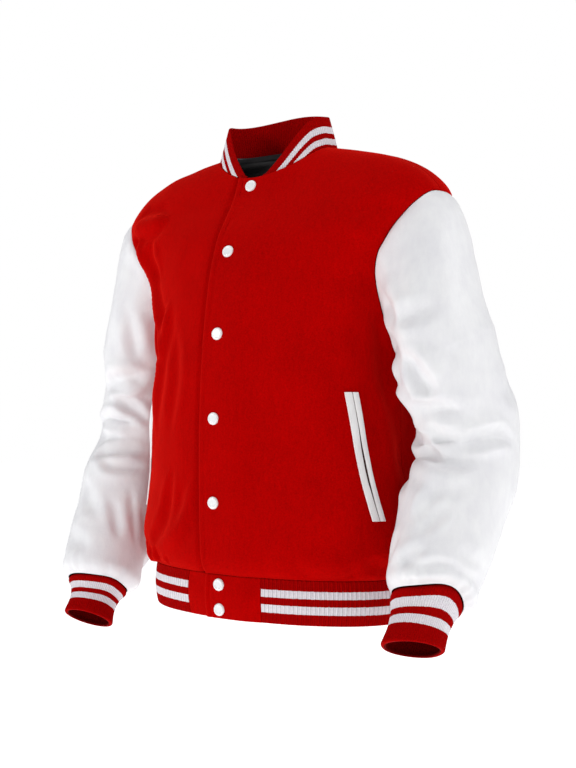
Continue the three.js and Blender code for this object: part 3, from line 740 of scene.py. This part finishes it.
def band_grid(a0, a1, cols, rows, lift):
    a = a0 + (a1 - a0) * cols
    A, Vv = a[None] + 0 * rows[:, None], rows[:, None] + 0 * a[None]
    P = band_point(A, Vv)
    tang = band_point(A + 0.5, Vv) - band_point(A - 0.5, Vv)
    N = unit(np.cross(tang, np.array([0, 0, 1.0])))
    return P + N * (lift(P[..., 0]) * (P[..., 1] < 12))[..., None], N


def ribs(u, pitch, height):
    """Rounded ribs with narrow grooves."""
    return height * (np.abs(np.cos(np.pi * u / pitch)) ** 0.55 - 0.75)


tab_a = float(front_angle(np.array(TAB_END), np.array(0.0)))
cols, rows = edged(98, 2.2, True, True), edged(BAND_HEIGHT, 2.4, True, True)
for side, x0, lift in (("left", -OVERLAP, lap), ("right", -OVERLAP, lambda x: 0 * x)):
    P, N = band_grid(float(front_angle(np.array(x0), np.array(0.0))), tab_a, cols, rows, lift)
    P = pull_in(P, ("bottom", "right"))
    l = run(P, 1)
    rise = 0.5 * waves(P, 34, 21) * smooth((np.abs(P[..., 0]) - 20) / 25)
    sink = rise
    if side == "left":
        rise = rise + OPENING(l)
    if side == "right":
        P, N = P * np.array([-1, 1, 1]), N * np.array([-1, 1, 1])
    shell(side + "_band_tab", P, N, WOOL, ("wool_red", "lining_black"), rise=rise, sink=sink,
          edges={"left": FREE_EDGE, "right": SEAM_EDGE, "bottom": SEAM_EDGE, "top": FREE_EDGE},
          replaces=(side + "_band_tab",))

coarse = band_point(np.linspace(tab_a, 180 - tab_a, 2000), np.zeros(2000) + 0.5)
arc = float(np.linalg.norm(np.diff(coarse, axis=0), axis=1).sum())
count = int(round(arc / BAND_RIB))
cols = np.linspace(0, 1, count * 8 + 1)
cum = np.concatenate([[0], np.cumsum(np.linalg.norm(np.diff(coarse, axis=0), axis=1))]) / arc
cols = np.interp(cols, cum, np.linspace(0, 1, 2000))
P, N = band_grid(tab_a, 180 - tab_a, cols, edged(BAND_HEIGHT, 2.6, True, True), lambda x: np.where(x > 0, lap(x), 0))
P = pull_in(P, ("bottom", "left", "right"))
l = np.linspace(0, count * BAND_RIB, len(cols))[None]
height = run(P, 0)
fade = smooth(height / 5) * smooth((BAND_HEIGHT - height) / 4)
rise = ribs(l, BAND_RIB, 1.5) * (0.35 + 0.65 * fade) + 0.5 * waves(P, 70, 8)
sink = -ribs(l + BAND_RIB / 2, BAND_RIB, 0.8) * 0.6 + 0.5 * waves(P, 70, 8)
shell("waistband_rib", P, N, RIB, ("rib_band", "rib_plain"), rise=rise, sink=sink,
      edges={"left": SEAM_EDGE, "right": SEAM_EDGE, "bottom": (1.0, 0.3), "top": (1.5, 1.3)},
      uv=(l, height), replaces=("waistband_rib",))


# --------------------------------------------------------------- the collar
def collar_point(a, v, u):
    base = body_point(a, np.full_like(a, T_NECK))
    end = np.minimum(u, 1 - u)
    rise_ = np.minimum(1, end / 0.17)
    side_ = COLLAR_SIDE - 1.8 * np.cos(a * RAD)
    high = (side_ + (COLLAR_BACK - side_) * smooth((end - 0.2) / 0.3)) * (1 - (1 - rise_) ** 1.7)
    h = np.maximum(high, 3.2) * v
    flat = unit(base[..., :2] - np.array([0, 6.0]))
    lean = COLLAR_LEAN * (h / COLLAR_SIDE) ** 1.15
    return np.stack([base[..., 0] - flat[..., 0] * lean, base[..., 1] - flat[..., 1] * lean, base[..., 2] + h], -1)


neck0 = float(front_angle(np.array(COLLAR_END), np.array(float(T_NECK))))
line = body_point(np.linspace(neck0, 180 - neck0, 3000), np.full(3000, float(T_NECK)))
arc = float(np.linalg.norm(np.diff(line, axis=0), axis=1).sum())
count = int(round(arc / FINE_RIB))
cum = np.concatenate([[0], np.cumsum(np.linalg.norm(np.diff(line, axis=0), axis=1))]) / arc
share = np.linspace(0, 1, count * 6 + 1)
u = np.interp(share, cum, np.linspace(0, 1, 3000))
v = edged(COLLAR_BACK, 2.6, True, True)
Ug, Vg = np.meshgrid(u, v)
P = collar_point(neck0 + (180 - 2 * neck0) * Ug, Vg, Ug)
P = pull_in(P, ("bottom",))
N = grid_normals(P, False)
side_ref = np.stack([P[..., 0], P[..., 1] - 6, 0 * P[..., 0]], -1)
N = N * np.sign((N * side_ref).sum(-1, keepdims=True))
l = (share * count * FINE_RIB)[None] + 0 * P[..., 0]
up = run(P, 0)
from_top = up[-1:] - up
amp = smooth(up / 3) * smooth(from_top / 2.5)
rise = ribs(l, FINE_RIB, 0.85) * (0.3 + 0.7 * amp) + 0.6 * waves(P, 55, 12)
sink = -ribs(l + FINE_RIB / 2, FINE_RIB, 0.6) * 0.8 * amp + 0.6 * waves(P, 55, 12)
shell("collar", P, N, RIB, ("rib_collar", "rib_plain"), rise=rise, sink=sink,
      edges={"bottom": (1.0, 0.3), "top": (1.5, 1.4), "left": FREE_EDGE, "right": FREE_EDGE},
      uv=(l, from_top), replaces=("collar",))


# -------------------------------------------------------------- the sleeves
def frames(table, s):
    pt = lambda t: np.stack([column(table, k, t) for k in range(3)], -1)
    n = len(table) - 1
    T = unit(pt(np.clip(s + 0.1, 0, n)) - pt(np.clip(s - 0.1, 0, n)))
    tilt = 1 - smooth(s / 1.6)
    T = unit(T + np.stack([0.30 * tilt, 0 * tilt, 0 * tilt], -1))
    O = unit(np.array([1.0, 0, 0]) - T * T[..., :1])
    F = unit(np.cross(T, O))
    F = F * np.where(F[..., 1:2] > 0, -1, 1)
    return pt(s), T, O, F, column(table, 3, s), column(table, 4, s)


def arm_loop(k, K):
    """Points of the armhole's edge: k from the tip, down the front, up the back."""
    half = K / 2
    down = k <= half
    tau = np.where(down, k / half, (K - k) / half)
    t = (T_UNDER + T_TIP) / 2 + (T_TIP - T_UNDER) / 2 * np.cos(np.pi * tau)
    a = np.where(down, -arm_angle(t, ARM_OPEN_FRONT), arm_angle(t, ARM_OPEN_BACK))
    return body_point(a, t)


def sleeve_base(table, large, K, caps, stations):
    k = np.arange(K)
    ang = 2 * np.pi * k / K
    loop = arm_loop(k.astype(float), K)
    mid = arm_loop(np.arange(20.0), 20).mean(0)
    C, T, O, F, rx, ry = (q[0] for q in frames(table, np.array([0.0])))
    B = C + O * (rx * np.cos(ang))[:, None] + F * (ry * np.sin(ang))[:, None]
    out = unit((loop - mid) * np.array([0, 1, 1]))
    under = (1 - np.cos(ang)) / 2
    go = unit(np.stack([0.62 + 0 * under, 0 * under, -0.72 - 0.25 * under], -1) + out * (0.30 * (1 - 0.6 * under))[:, None])
    span = np.linalg.norm(B - loop, axis=1)
    m0 = go * (span * (0.75 + 0.4 * under))[:, None]
    m1 = T * (span * (1.0 - 0.2 * under))[:, None]
    rows = []
    for h in caps:
        h2, h3 = h * h, h ** 3
        rows.append(loop * (2 * h3 - 3 * h2 + 1) + m0 * (h3 - 2 * h2 + h) + B * (-2 * h3 + 3 * h2) + m1 * (h3 - h2))
    C, T, O, F, rx, ry = frames(table, stations)
    ring = C[:, None] + O[:, None] * (rx[:, None] * np.cos(ang))[..., None] + F[:, None] * (ry[:, None] * np.sin(ang))[..., None]
    P = np.concatenate([np.array(rows), ring])
    s = np.concatenate([(np.asarray(caps) - 1) * 5 * 0.45, stations])
    deg = 360 * k / K
    h = np.zeros(P.shape[:2])
    for fs, at, depth, along, round_ in large:
        w = np.abs(deg - at); w = np.minimum(w, 360 - w)
        h += depth * np.exp(-((s[:, None] - fs) / along) ** 2 - (w[None] / round_) ** 2)
    h[0] = 0
    N = tube_normals(P)
    return P + N * h[..., None], s, deg


def tube_normals(P):
    N = grid_normals(P, True)
    ref = P - P.mean(1, keepdims=True)
    return N * np.sign((N * ref).sum(-1, keepdims=True) + 1e-12)


def calm(h, rounds, wrap=True):
    """Evens a grid of values out over its neighbours."""
    for _ in range(rounds):
        h = (np.roll(h, 1, 1) + np.roll(h, -1, 1) + 2 * h) / 4 if wrap else h
        h = np.concatenate([h[:1], (h[:-2] + h[2:] + 2 * h[1:-1]) / 4, h[-1:]])
    return h


# Creases of the sleeves: (ring, degrees) of three points, depth, width in mm.
CREASES = {
    "left": [
        ([(-2.0, 114), (-1.35, 104), (-0.85, 98)], -8.0, 11),
        ([(-1.05, 104), (-0.68, 72), (-0.5, 36)], -6.0, 9),
        ([(-1.0, 152), (-0.35, 138), (0.2, 116)], 12.0, 12),
        ([(0.45, 152), (0.95, 143), (1.35, 138), (1.7, 130)], -8.0, 14),
        ([(-0.55, 110), (0.1, 93), (0.75, 82), (0.98, 80)], -8.0, 10),
        ([(-0.2, 84), (0.3, 70), (0.7, 56)], 4.0, 13),
        ([(0.2, 160), (0.75, 142), (1.05, 118)], -7.0, 9),
        ([(0.95, 116), (1.06, 92), (1.18, 66), (1.34, 44)], -10.0, 8),
        ([(1.28, 134), (1.5, 110), (1.6, 84)], 7.0, 11),
        ([(1.6, 76), (1.66, 60), (1.6, 42)], 3.5, 9),
        ([(1.55, 156), (2.0, 128), (2.45, 112), (2.95, 104)], -9.0, 10),
        ([(1.95, 98), (2.1, 84), (2.05, 66)], -3.5, 7),
        ([(2.58, 72), (2.25, 46), (2.12, 22), (2.34, 352)], -9.0, 8),
        ([(2.6, 98), (2.85, 78), (2.8, 54)], 4.5, 11),
        ([(3.1, 132), (3.45, 112), (3.7, 82), (3.6, 58), (3.34, 38)], 6.5, 10),
        ([(3.2, 160), (3.7, 138), (4.1, 116)], -6.0, 9),
        ([(3.85, 74), (4.3, 83), (4.75, 94)], -6.0, 8),
        ([(4.2, 60), (4.56, 72), (5.0, 87)], -5.5, 8),
        ([(4.9, 112), (5.3, 128), (5.9, 142)], -3.6, 9),
        ([(5.2, 70), (5.65, 88), (6.1, 102)], -5.0, 8),
        ([(6.05, 100), (5.93, 62), (5.65, 28)], -3.2, 8),
        ([(4.9, 40), (5.2, 20), (5.1, 356)], -2.4, 10),
        # the side away from the view
        ([(-1.6, 232), (-0.9, 246), (-0.4, 268)], -6.0, 12),
        ([(0.3, 208), (0.9, 232), (1.2, 268)], -7.0, 11),
        ([(0.9, 214), (1.5, 240), (1.8, 276)], 5.0, 12),
        ([(1.6, 203), (2.1, 230), (2.3, 274)], -8.0, 10),
        ([(2.2, 200), (2.7, 238), (2.9, 288)], 5.0, 11),
        ([(2.9, 204), (3.3, 236), (3.4, 280)], -7.0, 10),
        ([(3.9, 214), (4.3, 236), (4.8, 252)], -4.6, 9),
        ([(4.4, 256), (4.8, 276), (5.1, 300)], -3.4, 10),
        ([(5.3, 196), (5.7, 236), (5.9, 284)], -3.6, 10),
        ([(0.9, 318), (1.3, 338), (1.2, 6)], -2.6, 13),
    ],
    "right": [
        ([(0.95, 58), (0.55, 88), (0.2, 117), (-0.45, 144)], -7.0, 11),
        ([(1.25, 64), (0.75, 104), (0.4, 138)], 5.0, 11),
        ([(0.95, 84), (1.32, 116), (1.7, 143)], -9.0, 8),
        ([(2.2, 40), (1.86, 74), (1.73, 98), (1.78, 117), (2.12, 134)], -9.0, 8),
        ([(1.45, 70), (1.48, 92), (1.6, 112)], 5.0, 8),
        ([(2.4, 62), (2.35, 92), (2.45, 124)], 5.5, 10),
        ([(3.3, 66), (3.05, 104), (2.74, 154)], -7.0, 8),
        ([(3.36, 82), (3.5, 116), (3.2, 158)], -6.5, 7),
        ([(2.75, 74), (2.85, 100), (2.75, 128)], 3.5, 8),
        ([(3.8, 138), (4.6, 158), (5.4, 178)], -3.6, 6),
        ([(3.9, 154), (4.6, 174), (5.5, 204)], -3.4, 6),
        ([(4.2, 118), (4.8, 136), (5.5, 150)], -2.6, 7),
        ([(3.7, 60), (4.4, 84), (4.9, 118)], -3.4, 10),
        ([(5.2, 44), (5.6, 80), (5.8, 118)], -3.2, 9),
        ([(-1.3, 86), (-0.9, 104), (-0.5, 120)], -4.0, 10),
        # the side away from the view
        ([(-1.2, 236), (-0.7, 252), (-0.3, 274)], -5.0, 12),
        ([(0.6, 210), (1.1, 236), (1.4, 274)], -7.0, 11),
        ([(1.1, 214), (1.6, 244), (1.9, 280)], 5.0, 12),
        ([(1.7, 204), (2.2, 232), (2.4, 276)], -8.0, 10),
        ([(2.3, 202), (2.7, 236), (3.0, 284)], 5.0, 11),
        ([(3.0, 206), (3.4, 238), (3.5, 284)], -6.5, 10),
        ([(4.1, 216), (4.5, 240), (5.0, 258)], -4.4, 9),
        ([(5.4, 200), (5.7, 236), (5.8, 288)], -3.4, 10),
        ([(1.0, 322), (1.4, 342), (1.3, 8)], -2.4, 13),
    ],
}


def sleeve_path(P, s, deg, points):
    out = []
    for a, b in points:
        i = np.interp(a, s, np.arange(len(s)))
        i0 = int(min(i, len(s) - 2)); f = i - i0
        k = (b % 360) / 360 * len(deg); k0 = int(k) % len(deg); k1 = (k0 + 1) % len(deg); g = k - int(k)
        out.append((P[i0, k0] * (1 - f) + P[i0 + 1, k0] * f) * (1 - g) + (P[i0, k1] * (1 - f) + P[i0 + 1, k1] * f) * g)
    return bend(out)


def cuff_lift(side, deg, v):
    """How far up its arm a cuff's ring lies out of square: the seam is bowed
    and the open end faces a little to the front. v: 0 at the seam, 1 at the end."""
    c = lambda a: np.cos((deg - a) * RAD)
    hump = lambda a, w: np.exp(-(((deg - a + 180) % 360 - 180) / w) ** 2)
    free = 1 - smooth(v / 0.6)
    if side == "left":
        return 7.0 * c(50) + 16 * hump(24, 44) * free + 6.5 * c(-40) * v
    return 3.5 * c(130) + (-11 + 4 * hump(160, 30)) * (1 - v) - v * (2 + 1.5 * c(220))


for side in ("left", "right"):
    table = SLEEVES[side]
    K = 144
    caps = np.concatenate([[0, 0.002, 0.005, 0.010, 0.018], np.linspace(0.03, 0.97, 36)])
    n_end = len(table) - 1
    stations = np.concatenate([np.linspace(0, n_end - 0.12, 108), n_end - np.array([0.09, 0.06, 0.042, 0.029, 0.019, 0.012])])
    P, s, deg = sleeve_base(table, LARGE[side], K, caps, stations)
    N = tube_normals(P)
    h = np.zeros(P.shape[:2])
    for pts, depth, width in CREASES[side]:
        h += fold(P, sleeve_path(P, s, deg, pts), 1.35 * depth, 1.05 * width, 0.5, 0.34, 1.5)
    h = calm(np.where(h < 0, -13 * np.tanh(-h / 13), 10 * np.tanh(h / 10)), 2)
    step_v = np.maximum(np.gradient(run(P, 0), axis=0), 0.8)
    step_u = np.linalg.norm(np.roll(P, -1, 1) - np.roll(P, 1, 1), axis=-1) / 2
    for _ in range(6):                        # no crease steeper than the hide bends
        slope = np.hypot(np.gradient(h, axis=0) / step_v, (np.roll(h, -1, 1) - np.roll(h, 1, 1)) / 2 / step_u)
        m = calm(np.clip((slope - 0.85) / 0.4, 0, 1), 2)
        h = h * (1 - m) + calm(h, 4) * m
    h += 1.0 * waves(P, 95, 31) + 0.5 * waves(P, 38, 32)
    near_end = smooth((s - (n_end - 1.4)) / 1.3)[:, None]
    g = np.deg2rad(deg)[None]
    h += near_end * 1.5 * np.sin(g * 17 + 1.4 * np.sin(g * 4)) * (0.6 + 0.4 * np.sin(g * 5 + 0.7))
    near_cap = np.exp(-np.maximum(run(P, 0) - 2, 0) / 16)
    h += near_cap * 0.5 * np.sin(g * 26 + 2 * np.sin(g * 3))
    # it keeps clear of the body beside it, and meets both seams
    body_side = np.exp(-((np.minimum(np.abs(deg - 180), 360 - np.abs(deg - 180)) / 45) ** 2))[None]
    h = np.where(h > 0, h * (1 - 0.85 * body_side), h)
    last = run(P, 0)[-1:] - run(P, 0)
    h *= smooth(run(P, 0) / 7) * smooth(last / 5)
    more = 3.0 * np.cos(g) ** 2 + 5.0 * np.sin(g) ** 2          # sleeve's end over the cuff's
    h += (3.2 + 1.6 * np.cos(g + 0.6)) * np.exp(-((last - 17) / 10) ** 2) - (more + 0.5) * np.exp(-(last / 7) ** 1.6)
    P = pull_in(P, ("bottom",), SEAM / 2, True)
    C, T, O, F, rx, ry = (q[0] for q in frames(table, np.array([float(n_end)])))
    P = P - T * (cuff_lift(side, deg[None], 0.0) * smooth(1 - last / 75))[..., None]
    N = unit(calm(tube_normals(P), 3))
    lying = P + N * h[..., None]              # the cloth eases where it would fold over itself
    for _ in range(14):
        over = (tube_normals(lying) * N).sum(-1) < 0.5
        m = np.clip(3 * calm(over.astype(float), 4), 0, 1)[..., None]
        m[:5] = 0
        m[-8:] = 0
        lying = lying * (1 - m) + calm(lying, 3) * m
    P = lying - N * h[..., None]
    if side == "right":
        out = np.exp(-(run(P, 0) / 24) ** 2)
        P, N = slouch(P * np.array([-1, 1, 1]), out), N * np.array([-1, 1, 1])
    # the sleeve's inner face takes the darker rib copy, painted shade, so the gap at the cuff reads as a dark red line
    shell(side + "_sleeve", P, N, LEATHER - 1.1 * np.exp(-(last / 5) ** 2), ("leather_white", "rib_painted_shade"), wrap=True, rise=h, sink=h,
          edges={"bottom": (1.5, 0.3), "top": (0.5, 0.1)}, replaces=(side + "_sleeve",))

    # the cuff
    C, T, O, F, rx, ry = (q[0] for q in frames(table, np.array([float(n_end)])))
    v = edged(CUFF_LENGTH, 2.4, True, True)
    count = 84
    Kc = count * 6
    ang = 2 * np.pi * np.arange(Kc) / Kc
    w = np.clip(v, 0, 1)[:, None]
    tuck = 2.9 * np.exp(-(w * CUFF_LENGTH / 2.4) ** 2)      # its end goes into the sleeve's
    form = np.interp(w, [0, 0.07, 0.15, 0.25, 0.38, 0.54, 0.68, 0.82, 0.93, 1.0],
                     [1.0, 0.985, 0.935, 0.87, 0.825, 0.80, 0.805, 0.825, 0.835, 0.825] if side == "left" else
                     [1.0, 0.975, 0.90, 0.825, 0.77, 0.745, 0.75, 0.775, 0.79, 0.78])
    for _ in range(2):
        form[1:-1] = (form[:-2] + form[2:] + 2 * form[1:-1]) / 4
    RX, RY = CUFF_TOP_R[0] * form - tuck, CUFF_TOP_R[1] * form - tuck
    P = (C + T * (-1.6 + (CUFF_LENGTH + 1.9) * v[:, None]))[:, None] + O * (RX * np.cos(ang))[..., None] + F * (RY * np.sin(ang))[..., None]
    P = P - T * cuff_lift(side, np.rad2deg(ang)[None], w)[..., None]
    N = tube_normals(P)
    l = np.arange(Kc)[None] * FINE_RIB * count / Kc + 0 * P[..., 0]
    up = v[:, None] * CUFF_LENGTH + 0 * P[..., 0]
    amp = smooth(up / 3) * smooth((up[-1:] - up) / 2.5)
    wob = 1.1 * waves(P, 60, 41) * smooth(up / 8)
    rise = ribs(l, FINE_RIB, 0.95) * (0.3 + 0.7 * amp) + wob + 0.9 * np.exp(-((CUFF_LENGTH - up) / 7) ** 2)
    sink = -ribs(l + FINE_RIB / 2, FINE_RIB, 0.6) * 0.8 * amp + wob
    if side == "right":
        P, N = P * np.array([-1, 1, 1]), N * np.array([-1, 1, 1])
    wall = CUFF_WALL + 3.4 * np.exp(-((CUFF_LENGTH - up) / 7) ** 2)
    shell(side + "_cuff", P, N, wall, ("rib_cuff", "rib_painted_shade"), wrap=True, rise=rise, sink=sink,
          edges={"bottom": (0.6, 0.3), "top": (3.0, 2.9)}, uv=(l, up), replaces=(side + "_cuff",))


# -------------------------------------------------------------- the pockets
def row_at(a, z):
    lo, hi = np.zeros_like(a), np.full_like(a, float(T_UNDER))
    for _ in range(36):
        m = (lo + hi) / 2
        low = body_point(a, m)[..., 2] < z
        lo, hi = np.where(low, m, lo), np.where(low, hi, m)
    return (lo + hi) / 2


def pocket_point(w, e, out):
    a = -90 + POCKET["top_a"] + (POCKET["end_a"] - POCKET["top_a"]) * w
    z = POCKET["top_z"] + (POCKET["end_z"] - POCKET["top_z"]) * w
    t = row_at(a, z)
    p, nn = body_point(a, t), body_normal(a, t)
    q = unit(body_point(a + 1, t) - body_point(a - 1, t))
    return p + q * e[..., None], nn


def stitches(name, path, normal, mat, pitch=3.4, long=2.3, r=0.32, lift=0.1):
    """A row of short raised stitches along a path."""
    seg = np.linalg.norm(np.diff(path, axis=0), axis=1)
    L = np.concatenate([[0], np.cumsum(seg)])
    n = int(L[-1] / pitch)
    V, F, base = [], [], 0
    at = lambda d, arr: np.stack([np.interp(d, L, arr[:, k]) for k in range(3)], -1)
    for i in range(n):
        c = (i + 0.5) * pitch
        p0, p1 = at(c - long / 2, path), at(c + long / 2, path)
        nn = unit(at(c, normal)); t = unit(p1 - p0); b = np.cross(nn, t)
        for f, k, up in ((0.0, 0.35, -0.25), (0.22, 0.9, 0.10), (0.5, 1.0, 0.22), (0.78, 0.9, 0.10), (1.0, 0.35, -0.25)):
            m = p0 + (p1 - p0) * f + nn * (lift + up)
            for q in range(6):
                an = q * math.pi / 3
                V.append(m + (b * math.cos(an) + nn * math.sin(an)) * r * k)
        for ring in range(4):
            for q in range(6):
                a0, a1 = base + ring * 6 + q, base + ring * 6 + (q + 1) % 6
                F.append((a0, a1, a1 + 6, a0 + 6))
        F.append(tuple(base + q for q in range(5, -1, -1)))
        F.append(tuple(base + 24 + q for q in range(6)))
        base += 30
    me = bpy.data.meshes.new(name)
    me.from_pydata((np.array(V) * MM).tolist(), [], F)
    me.polygons.foreach_set("use_smooth", np.ones(len(me.polygons), bool))
    me.materials.append(MATS[mat]); me.update()
    o = bpy.data.objects.new(name, me)
    bpy.context.scene.collection.objects.link(o)
    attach(o, "root")
    return o


for side in ("left", "right"):
    flip = np.array([-1 if side == "right" else 1, 1, 1])
    H, S = POCKET["half"], POCKET["slit"]
    W = edged(185, 2.4, True, True)
    swell = np.exp(-((W - 0.6) / 0.24) ** 2)
    relief = lambda P: body_relief(P * flip)
    for part, e_in, e_out in (("_welt_front", -(0.3 + 1.1 * swell), -H), ("_welt_rear", 0.3 + 1.1 * swell, H - 2.5)):
        cross = edged(abs(H - S), 1.2, True, True)
        E = e_in[None] + (e_out - e_in)[None] * cross[:, None]
        Wg = W[None] + 0 * E
        P, N = pocket_point(Wg, E, 0)
        body_lift = relief(P)
        P = P + N * (body_lift + 2.6)[..., None]
        crown = 0.5 * np.sin(np.pi * cross)[:, None] - 0.35 * np.exp(-((cross[:, None] - 0.78) / 0.07) ** 2) + 0.25 * waves(P, 24, 51)
        shell(side + part, P * flip, N * flip, 2.2, ("leather_welt",), rise=crown,
              edges={k: (0.9, 0.3) for k in ("left", "right", "bottom", "top")}, replaces=(side + part,))
        k = 0.78
        pw = np.linspace(0.02, 0.98, 60)
        ee = np.interp(pw, W, e_in) + (e_out - np.interp(pw, W, e_in)) * k
        Q, QN = pocket_point(pw, ee, 0)
        Q = Q + QN * (relief(Q) + 2.6)[..., None]
        st = stitches(side + part + "_stitches", Q * flip, QN * flip, "thread_white", 2.6, 1.8, 0.26)
    # a near-black sheet between the welts: the opening's shade, painted on
    E = np.array([-1, -0.4, 0.4, 1])[:, None] * (0.9 + 1.2 * swell)[None]
    P, N = pocket_point(W[None] + 0 * E, E, 0)
    P = P + N * (relief(P) + 0.9)[..., None]
    shell(side + "_pocket_slit", P * flip, N * flip, 0.8, ("pocket_cloth",), replaces=(side + "_pocket_slit",))


# ---------------------------------------------------------------- the snaps
def snap(name, p, nrm, clear=0.1):
    R, H = SNAP_R, SNAP_H
    nrm = unit(nrm + np.array([0.13, 0, 0]))
    prof = [(0.0, 0.0), (R * 0.92, 0.0), (R * 0.985, 0.35), (R, 0.9), (R * 0.985, 1.5), (R * 0.94, 2.2), (R * 0.87, 2.75),
            (R * 0.79, 3.1), (R * 0.72, 3.2), (R * 0.66, 3.1), (R * 0.62, 2.9), (R * 0.56, 2.78), (R * 0.4, 2.78), (R * 0.2, 2.85), (0.0, 2.88)]
    n = 48
    t = unit(np.cross(nrm, np.array([1.0, 0, 0.001]))); b = np.cross(nrm, t)
    V, F = [], []
    for r, h in prof[1:-1]:
        for k in range(n):
            an = 2 * math.pi * k / n
            V.append(p + nrm * (clear + h * H / 3.2) + (t * math.cos(an) + b * math.sin(an)) * r)
    m = len(prof) - 2
    for i in range(m - 1):
        for k in range(n):
            k1 = (k + 1) % n
            F.append((i * n + k, i * n + k1, (i + 1) * n + k1, (i + 1) * n + k))
    V.append(p + nrm * clear); V.append(p + nrm * (clear + 2.88 * H / 3.2))
    for k in range(n):
        k1 = (k + 1) % n
        F.append((len(V) - 2, k1, k)); F.append((len(V) - 1, (m - 1) * n + k, (m - 1) * n + k1))
    me = bpy.data.meshes.new(name)
    me.from_pydata((np.array(V) * MM).tolist(), [], F)
    me.polygons.foreach_set("use_smooth", np.ones(len(me.polygons), bool))
    me.materials.append(MATS["snap_white"]); me.update()
    o = bpy.data.objects.new(name + "_cap", me)
    bpy.context.scene.collection.objects.link(o)
    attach(o, "root"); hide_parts(name)


for nm, (p, nrm) in SNAP_AT.items():
    snap(nm, p, nrm, -0.4)
for nm, z in BAND_SNAPS:
    v = (BAND_TOP - z) / BAND_HEIGHT
    p = band_point(np.array(-90.0), np.array(v)) + np.array([0, -lap(0.0), 0])
    snap(nm, p, np.array([0, -1.0, 0]), 0.3)

# the stitched line beside the opening
T = np.linspace(0.25, 13.9, 260)
e = front_angle(np.full_like(T, -OVERLAP + 9.2), T)
Q, QN = body_point(e, T), body_normal(e, T)
Q = Q + unit(QN * np.array([1, 1, 0])) * lap(Q[:, 0])[:, None]
stitches("opening_stitches", Q, QN, "thread_red", lift=-0.25)

# ------------------------------------------------- the lining inside the neck
t = np.linspace(12.2, 13.55, 14)
a = np.linspace(10, 170, 80)
A, TT = np.meshgrid(a, t)
P, N = body_point(A, TT), body_normal(A, TT)
P = P - N * (WOOL + 0.8)
line = body_point(a, np.full_like(a, T_NECK))
flat = unit(line * np.array([1, 1, 0]) - np.array([0, 6, 0]))
for up, back in ((-3.2, 3.4), (-1.4, 4.4), (0.4, 4.6), (2.2, 4.8), (4.0, 5.1), (5.8, 5.5)):      # it covers the collar's seam
    P = np.concatenate([P, (line + np.array([0, 0, up]) - flat * back)[None]])
    N = np.concatenate([N, flat[None]])
shell("neck_lining", P, N, 1.0, ("lining_black",), rise=0.4 * waves(P, 40, 61), sink=0.4 * waves(P, 40, 61),
      edges={k: (0.4, 0.4) for k in ("left", "right", "bottom", "top")}, replaces=("neck_lining",))

# ------------------------------------------------- floor, light and camera
AZ = 40 * RAD
right = Vector((math.cos(AZ), math.sin(AZ), 0))
backv = Vector((math.sin(AZ), -math.cos(AZ), 0))
scene = bpy.context.scene
scene.view_settings.view_transform = "Standard"

me = bpy.data.meshes.new("floor")
me.from_pydata([(-9, -9, -1.02), (9, -9, -1.02), (9, 9, -1.02), (-9, 9, -1.02)], [], [(0, 1, 2, 3)])
floor = bpy.data.objects.new("floor", me)
scene.collection.objects.link(floor)
n = Nodes("floor_pale")
n.link(n.ramp(n.noise(n.place(), 3, 2), [(0.3, (0.93, 0.93, 0.93)), (0.7, (0.95, 0.95, 0.95))]), n.b.inputs["Base Color"])
n.b.inputs["Roughness"].default_value = 0.9
n.b.inputs["Emission Color"].default_value = (1, 1, 1, 1)
n.b.inputs["Emission Strength"].default_value = 0.72
me.materials.append(n.m)
floor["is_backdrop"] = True

world = bpy.data.worlds.new("studio")
scene.world = world
world.use_nodes = True
wt = world.node_tree
bg = wt.nodes["Background"]
bg.inputs["Color"].default_value = (0.96, 0.97, 1, 1)
bg.inputs["Strength"].default_value = 0.34
seen = wt.nodes.new("ShaderNodeBackground")
seen.inputs["Color"].default_value = (1, 1, 1, 1)
seen.inputs["Strength"].default_value = 1.0
lp = wt.nodes.new("ShaderNodeLightPath")
mx = wt.nodes.new("ShaderNodeMixShader")
wt.links.new(lp.outputs["Is Camera Ray"], mx.inputs[0])
wt.links.new(bg.outputs[0], mx.inputs[1])
wt.links.new(seen.outputs[0], mx.inputs[2])
wt.links.new(mx.outputs[0], wt.nodes["World Output"].inputs["Surface"])


def area(name, place, aim, size, power, color=(1, 1, 1)):
    d = bpy.data.lights.new(name, "AREA")
    d.shape, d.size, d.energy, d.color = "SQUARE", size, power, color
    o = bpy.data.objects.new(name, d)
    scene.collection.objects.link(o)
    o.location = place
    o.rotation_euler = (Vector(aim) - Vector(place)).to_track_quat("-Z", "Y").to_euler()


mid = Vector((0, 0, -0.33))
area("key", mid + right * 2.0 + backv * 1.25 + Vector((0, 0, 1.5)), mid, 0.8, 27)
area("left", mid - right * 2.15 + backv * 1.0 + Vector((0, 0, 0.7)), mid, 0.5, 16)
area("edge", mid - right * 2.0 - backv * 0.9 + Vector((0, 0, 0.5)), mid, 0.7, 3)
area("top", mid - right * 0.3 + Vector((0, 0, 2.6)), mid, 1.6, 10)
area("rear", mid - backv * 2.4 + Vector((0, 0, 0.8)), mid, 2.0, 8)

cam = bpy.data.cameras.new("camera")
cam.sensor_fit = "VERTICAL"
cam.sensor_height = 36
cam.lens = 1400 / 768 * 36
cam.clip_end = 50
co = bpy.data.objects.new("camera", cam)
scene.collection.objects.link(co)
co.location = backv * 2.0 + Vector((0, 0, -0.335))
aim = right * 0.01786 + Vector((0, 0, -0.3275))
co.rotation_euler = (aim - co.location).to_track_quat("-Z", "Y").to_euler()
scene.camera = co

{"cad": [list(map(float, c)) for c in cad_box], "visual": [list(map(float, c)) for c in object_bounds()]}
